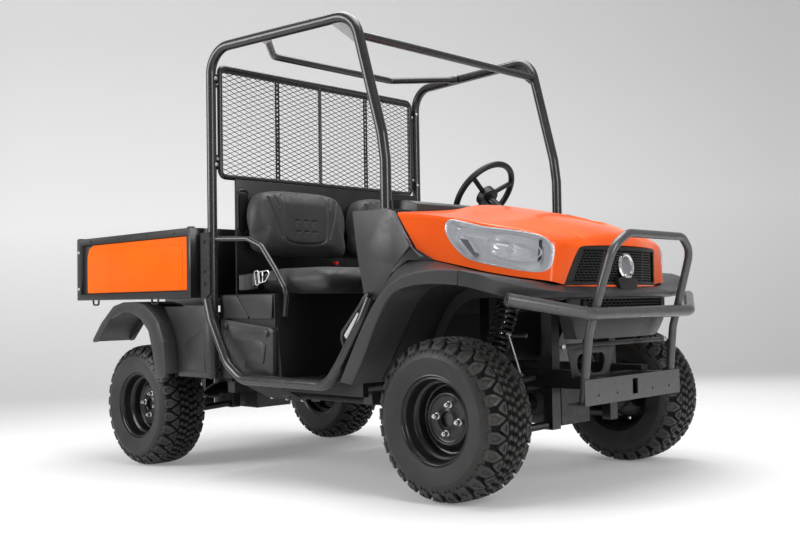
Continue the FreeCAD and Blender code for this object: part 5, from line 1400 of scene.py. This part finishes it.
def makeChin():
    made = Build()
    heights = [chin["low"] + rise for rise in (0, 8, 30, 62)] + [chin["intakeLow"] - 3, chin["intakeLow"]]
    rows = []
    for z in heights:
        row = [chinPoint(-1, z, 60) + Vector((0, 6, 0)), chinPoint(-1, z, 22) + Vector((0, -1, 0))]
        row += [chinPoint(k / 12 - 1, z, 0) for k in range(25)]
        row += [chinPoint(1, z, 22) + Vector((0, 1, 0)), chinPoint(1, z, 60) + Vector((0, -6, 0))]
        rows.append(row)
    made.grid(rows, "darkPlastic")
    piece = made.make("noseChin", "chassis", "dark_plastic", [thicken(4)], weld=0.1, sharp=50)
    grid = Build()
    for side in (-1, 1):
        s0, s1 = sorted((side * chin["intake"], side))
        curvedBar(grid, chinPoint, s0, s1, chin["intakeLow"], chin["high"], 0, 16, "darkPlastic", 2)
    curvedBar(grid, chinPoint, -1, 1, chin["high"] - 5, chin["high"], 0, 16, "darkPlastic", 20)
    step = (chin["high"] - 5 - chin["intakeLow"]) / chin["rows"]
    for row in range(chin["rows"] + 1):
        z = chin["intakeLow"] + step * row
        curvedBar(grid, chinPoint, -chin["intake"], chin["intake"], z - 1.6, z + 1.6, 7, 18, "blackPlastic", 18)
        if row < chin["rows"]:
            for k in range(chin["slots"]):
                s = -chin["intake"] + 2 * chin["intake"] * (k + (0.5 if row % 2 else 0)) / chin["slots"]
                curvedBar(grid, chinPoint, s - 0.006, s + 0.006, z, z + step, 8, 18, "blackPlastic")
    curvedBar(grid, chinPoint, -0.97, 0.97, chin["intakeLow"] - 4, chin["high"], 26, 30, "blackPlastic", 12)
    curvedBar(grid, chinPoint, -0.83, -0.77, chin["intakeLow"] + 8, chin["high"] - 14, 0, 12, "blackSteel")
    grid.bolt(chinPoint(-0.8, chin["intakeLow"] + 24, -1), (1, 0, 0), 6)
    grid.make("chinIntake", "chassis", "black_plastic", sharp=40)
    under = Build()
    under.slab(322, 334, -380, 380, 561, 578, "blackPaint")
    for y in (-372, 372):
        under.bolt((334, y, 570), (1, 0, 0), 9)
    loop = flatOutline(chin["shroud"], 8)
    hole = flatOutline(chin["shroudHole"], 34)
    plate = Build()
    plate.faces([(338, y, z) for y, z in loop + hole], sideLoops(len(loop)), "darkPlastic")
    plate.make("shroudPlate", "chassis", "dark_plastic", [thicken(5), bevel(1.5, 2)], sharp=40)
    under.make("noseBeam", "chassis", "black_steel", [bevel(1.5, 2)])


makeChin()
print("chin made")


# Cage fittings: clamps on the rear roof bar, brackets on the posts, bolts at the guards.
fitting = {
    "clamps": (([(-1026, -652, 1950), (-1062, -640, 1950)], 21, "zinc"),
               ([(-1062, -640, 1950), (-1076, -634, 1950)], 23, "zinc"),
               ([(-1026, 652, 1950), (-1080, 634, 1950)], 21, "blackSteel")),
    "brackets": (1404, 1812), "postBolts": (842, 900, 1040), "guardBolts": (-1000, -620),
}


def makeFittings():
    made = Build()
    for line, radius, finish in fitting["clamps"]:
        made.tube(line, radius, finish, 24)
    for y in (-646, 646):
        made.bolt((-1044, y, 1968), (0, 0, 1), 8)
    for side in (-1, 1):
        for z in fitting["brackets"]:
            made.slab(-1424, -1380, side * 680 - 3, side * 680 + 3, z - 22, z + 22, "blackSteel")
            made.bolt((-1380, side * 692, z), (1, 0, 0), 8)
        for z in fitting["postBolts"]:
            made.bolt((-1428, side * 733, z), (0, side, 0), 8, "blackSteel")
    for side in (-1, 1):
        end = Vector((296, side * 652, 748))
        along = (end - Vector((450, side * 370, 690))).normalized()
        cap = [(0.05, 0), (22, 0), (24.5, 1), (24.5, 3), (22, 4.5), (17, 4.5), (16, 3), (0.05, 3)]
        made.turned(cap, end, along, "guardSteel", 32)
        made.turned([(0.05, 2), (4, 2), (4, 5), (0.05, 5)], end, along, "blackSteel", 16)
        for x in fitting["guardBolts"]:
            made.bolt((x, side * 676, 440), (0, side, 0), 8)
    made.make("cageFittings", "chassis", "bright_steel", [bevel(0.8, 1, 60)], sharp=35)


makeFittings()
print("fittings made")


# The CAD nodes that are shown as they are.
for finish, names in (
        ("blackSteel", ("frame_rails", "frame_members", "hitch_receiver", "suspension_towers", "lift_mount",
                        "bed_pivots", "suspension_arms", "drive_shafts", "steering_gear", "tie_rod_left",
                        "tie_rod_right", "lift_barrel", "cab_rear_wall", "bed_tub")),
        ("casting", ("engine", "muffler", "drive_casings", "knuckle_left", "knuckle_right")),
        ("cageSteel", ("rops_hoops", "rops_crossbars", "side_guards", "hip_rails")),
        ("guardSteel", ("front_bumper",)),
        ("blackPlastic", ("floor_pan", "seat_box", "steering_wheel")),
        ("darkPlastic", ("service_doors", "dashboard", "cowl_side_panels", "rear_fenders",
                         "engine_side_panels")),
        ("bedOrange", ("tailgate",)), ("zinc", ("lift_rod",))):
    dress(finish, *names)
soften(0.003, "service_doors", "dashboard", "cowl_side_panels", "rear_fenders", "engine_side_panels",
       "tailgate", "cab_rear_wall", "bed_tub")
print("CAD nodes dressed")


# Stage: pale sweep, soft lamps and the photograph's camera.
stage = {
    "fill": 0.36, "behind": 0.62,
    # Name, place, aim, size and power of each lamp, in metres and watts.
    "lamps": (("overhead", (0.3, 0.2, 4.6), (0.2, 0.0, 0.6), (4.5, 3.0), 215),
              ("cameraLeft", (-2.4, -4.6, 2.6), (0.0, 0.0, 0.8), (2.4, 2.4), 135),
              ("noseSide", (5.2, -1.2, 2.2), (0.8, 0.0, 0.8), (1.6, 2.6), 90),
              ("behind", (-1.5, 4.8, 3.2), (0.0, 0.0, 1.0), (4.0, 1.6), 60)),
}


def makeSweep():
    sweep = {"back": 9.0, "front": -9.0, "wide": 28.0, "rise": 7.0, "bend": 3.0, "turn": 44}
    made = bmesh.new()
    line = [(sweep["front"], 0.0), (sweep["back"] - sweep["bend"], 0.0)]
    for k in range(1, 13):
        angle = math.pi / 2 * k / 12
        line.append((sweep["back"] - sweep["bend"] + sweep["bend"] * math.sin(angle),
                     sweep["bend"] * (1 - math.cos(angle))))
    line.append((sweep["back"], sweep["rise"]))
    away = Matrix.Rotation(math.radians(sweep["turn"]), 4, "Z")
    rows = []
    for along, height in line:
        ends = (-sweep["wide"], sweep["wide"])
        rows.append([made.verts.new(away @ Vector((side, along, height))) for side in ends])
    for a, b in zip(rows, rows[1:]):
        made.faces.new((a[0], a[1], b[1], b[0])).smooth = True
    mesh = bpy.data.meshes.new("paleSweep")
    made.to_mesh(mesh)
    made.free()
    paper = Finish("stagePaper", Roughness=0.9, Specular_IOR_Level=0.1)
    paper.colour(rgba(0.74, 0.74, 0.74))
    cameraRay, glossyRay, transmissionRay = (paper.node("LightPath", output=i) for i in (0, 3, 6))
    seen = cameraRay + glossyRay + transmissionRay
    spot = [paper.node("SeparateXYZ", {}, {0: paper.node("NewGeometry", output=0)}, output=i) for i in range(3)]
    # Painted light on the sweep: its glow, seen only by camera, glossy and transmission rays, is graded as
    # lamplight would fall, strongest about 2.2 m up, weaker on the floor and near the top, and weaker towards
    # the right than the left.
    across = spot[0] * 0.72 + spot[1] * 0.69
    rise = paper.spread(spot[2], 0.0, 2.2, (0.50, 1.0)) * paper.spread(spot[2], 2.2, 5.0, (1.0, 0.76))
    paintedGlow = seen * rise * paper.spread(across, -5.0, 5.5, (0.97, 0.46))
    paper.feed(paper.shader.inputs["Emission Color"],
               paper.blend(paintedGlow, rgba(0.0, 0.0, 0.0), rgba(0.52, 0.52, 0.52)))
    paper.shader.inputs["Emission Strength"].default_value = 1.0
    mesh.materials.append(paper.material)
    floor = bpy.data.objects.new("paleSweep", mesh)
    bpy.context.scene.collection.objects.link(floor)


def makeWorld():
    world = bpy.data.worlds.new("studioWorld")
    bpy.context.scene.world = world
    world.use_nodes = True
    tree = world.node_tree
    tree.nodes.clear()
    backdrops = []
    for strength in (stage["fill"], stage["behind"]):
        backdrop = tree.nodes.new("ShaderNodeBackground")
        backdrop.inputs[0].default_value = (1, 1, 1, 1)
        backdrop.inputs[1].default_value = strength
        backdrops.append(backdrop)
    mixed = tree.nodes.new("ShaderNodeMixShader")
    tree.links.new(tree.nodes.new("ShaderNodeLightPath").outputs[0], mixed.inputs[0])
    tree.links.new(backdrops[0].outputs[0], mixed.inputs[1])
    tree.links.new(backdrops[1].outputs[0], mixed.inputs[2])
    tree.links.new(mixed.outputs[0], tree.nodes.new("ShaderNodeOutputWorld").inputs[0])


def makeLights():
    for name, place, target, size, power in stage["lamps"]:
        light = bpy.data.lights.new(name, "AREA")
        light.shape = "RECTANGLE"
        light.size, light.size_y = size
        light.energy = power
        holder = bpy.data.objects.new(name, light)
        holder.location = place
        holder.rotation_euler = (Vector(target) - Vector(place)).to_track_quat("-Z", "Y").to_euler()
        holder.visible_glossy = name != "behind"
        bpy.context.scene.collection.objects.link(holder)


def makeCamera():
    view = {"place": (2459.3, -3416.1, 670.2), "yaw": 44.01, "pitch": 3.28, "roll": -2.33, "lens": 44.39}
    yaw, pitch, roll = (math.radians(view[k]) for k in ("yaw", "pitch", "roll"))
    ahead = Vector((-math.sin(yaw) * math.cos(pitch), math.cos(yaw) * math.cos(pitch), math.sin(pitch)))
    level = Vector((math.cos(yaw), math.sin(yaw), 0))
    upright = level.cross(ahead)
    right = level * math.cos(roll) + upright * math.sin(roll)
    up = upright * math.cos(roll) - level * math.sin(roll)
    data = bpy.data.cameras.new("photoCamera")
    data.lens = view["lens"]
    data.sensor_width = 36.0
    camera = bpy.data.objects.new("photoCamera", data)
    turn = Matrix((right, up, -ahead)).transposed().to_4x4()
    camera.matrix_world = Matrix.Translation(levelFrame @ Vector(view["place"])) @ turn
    bpy.context.scene.collection.objects.link(camera)
    bpy.context.scene.camera = camera


makeSweep()
makeWorld()
makeLights()
makeCamera()
bpy.context.scene.view_settings.view_transform = "Standard"
print("stage and camera set")
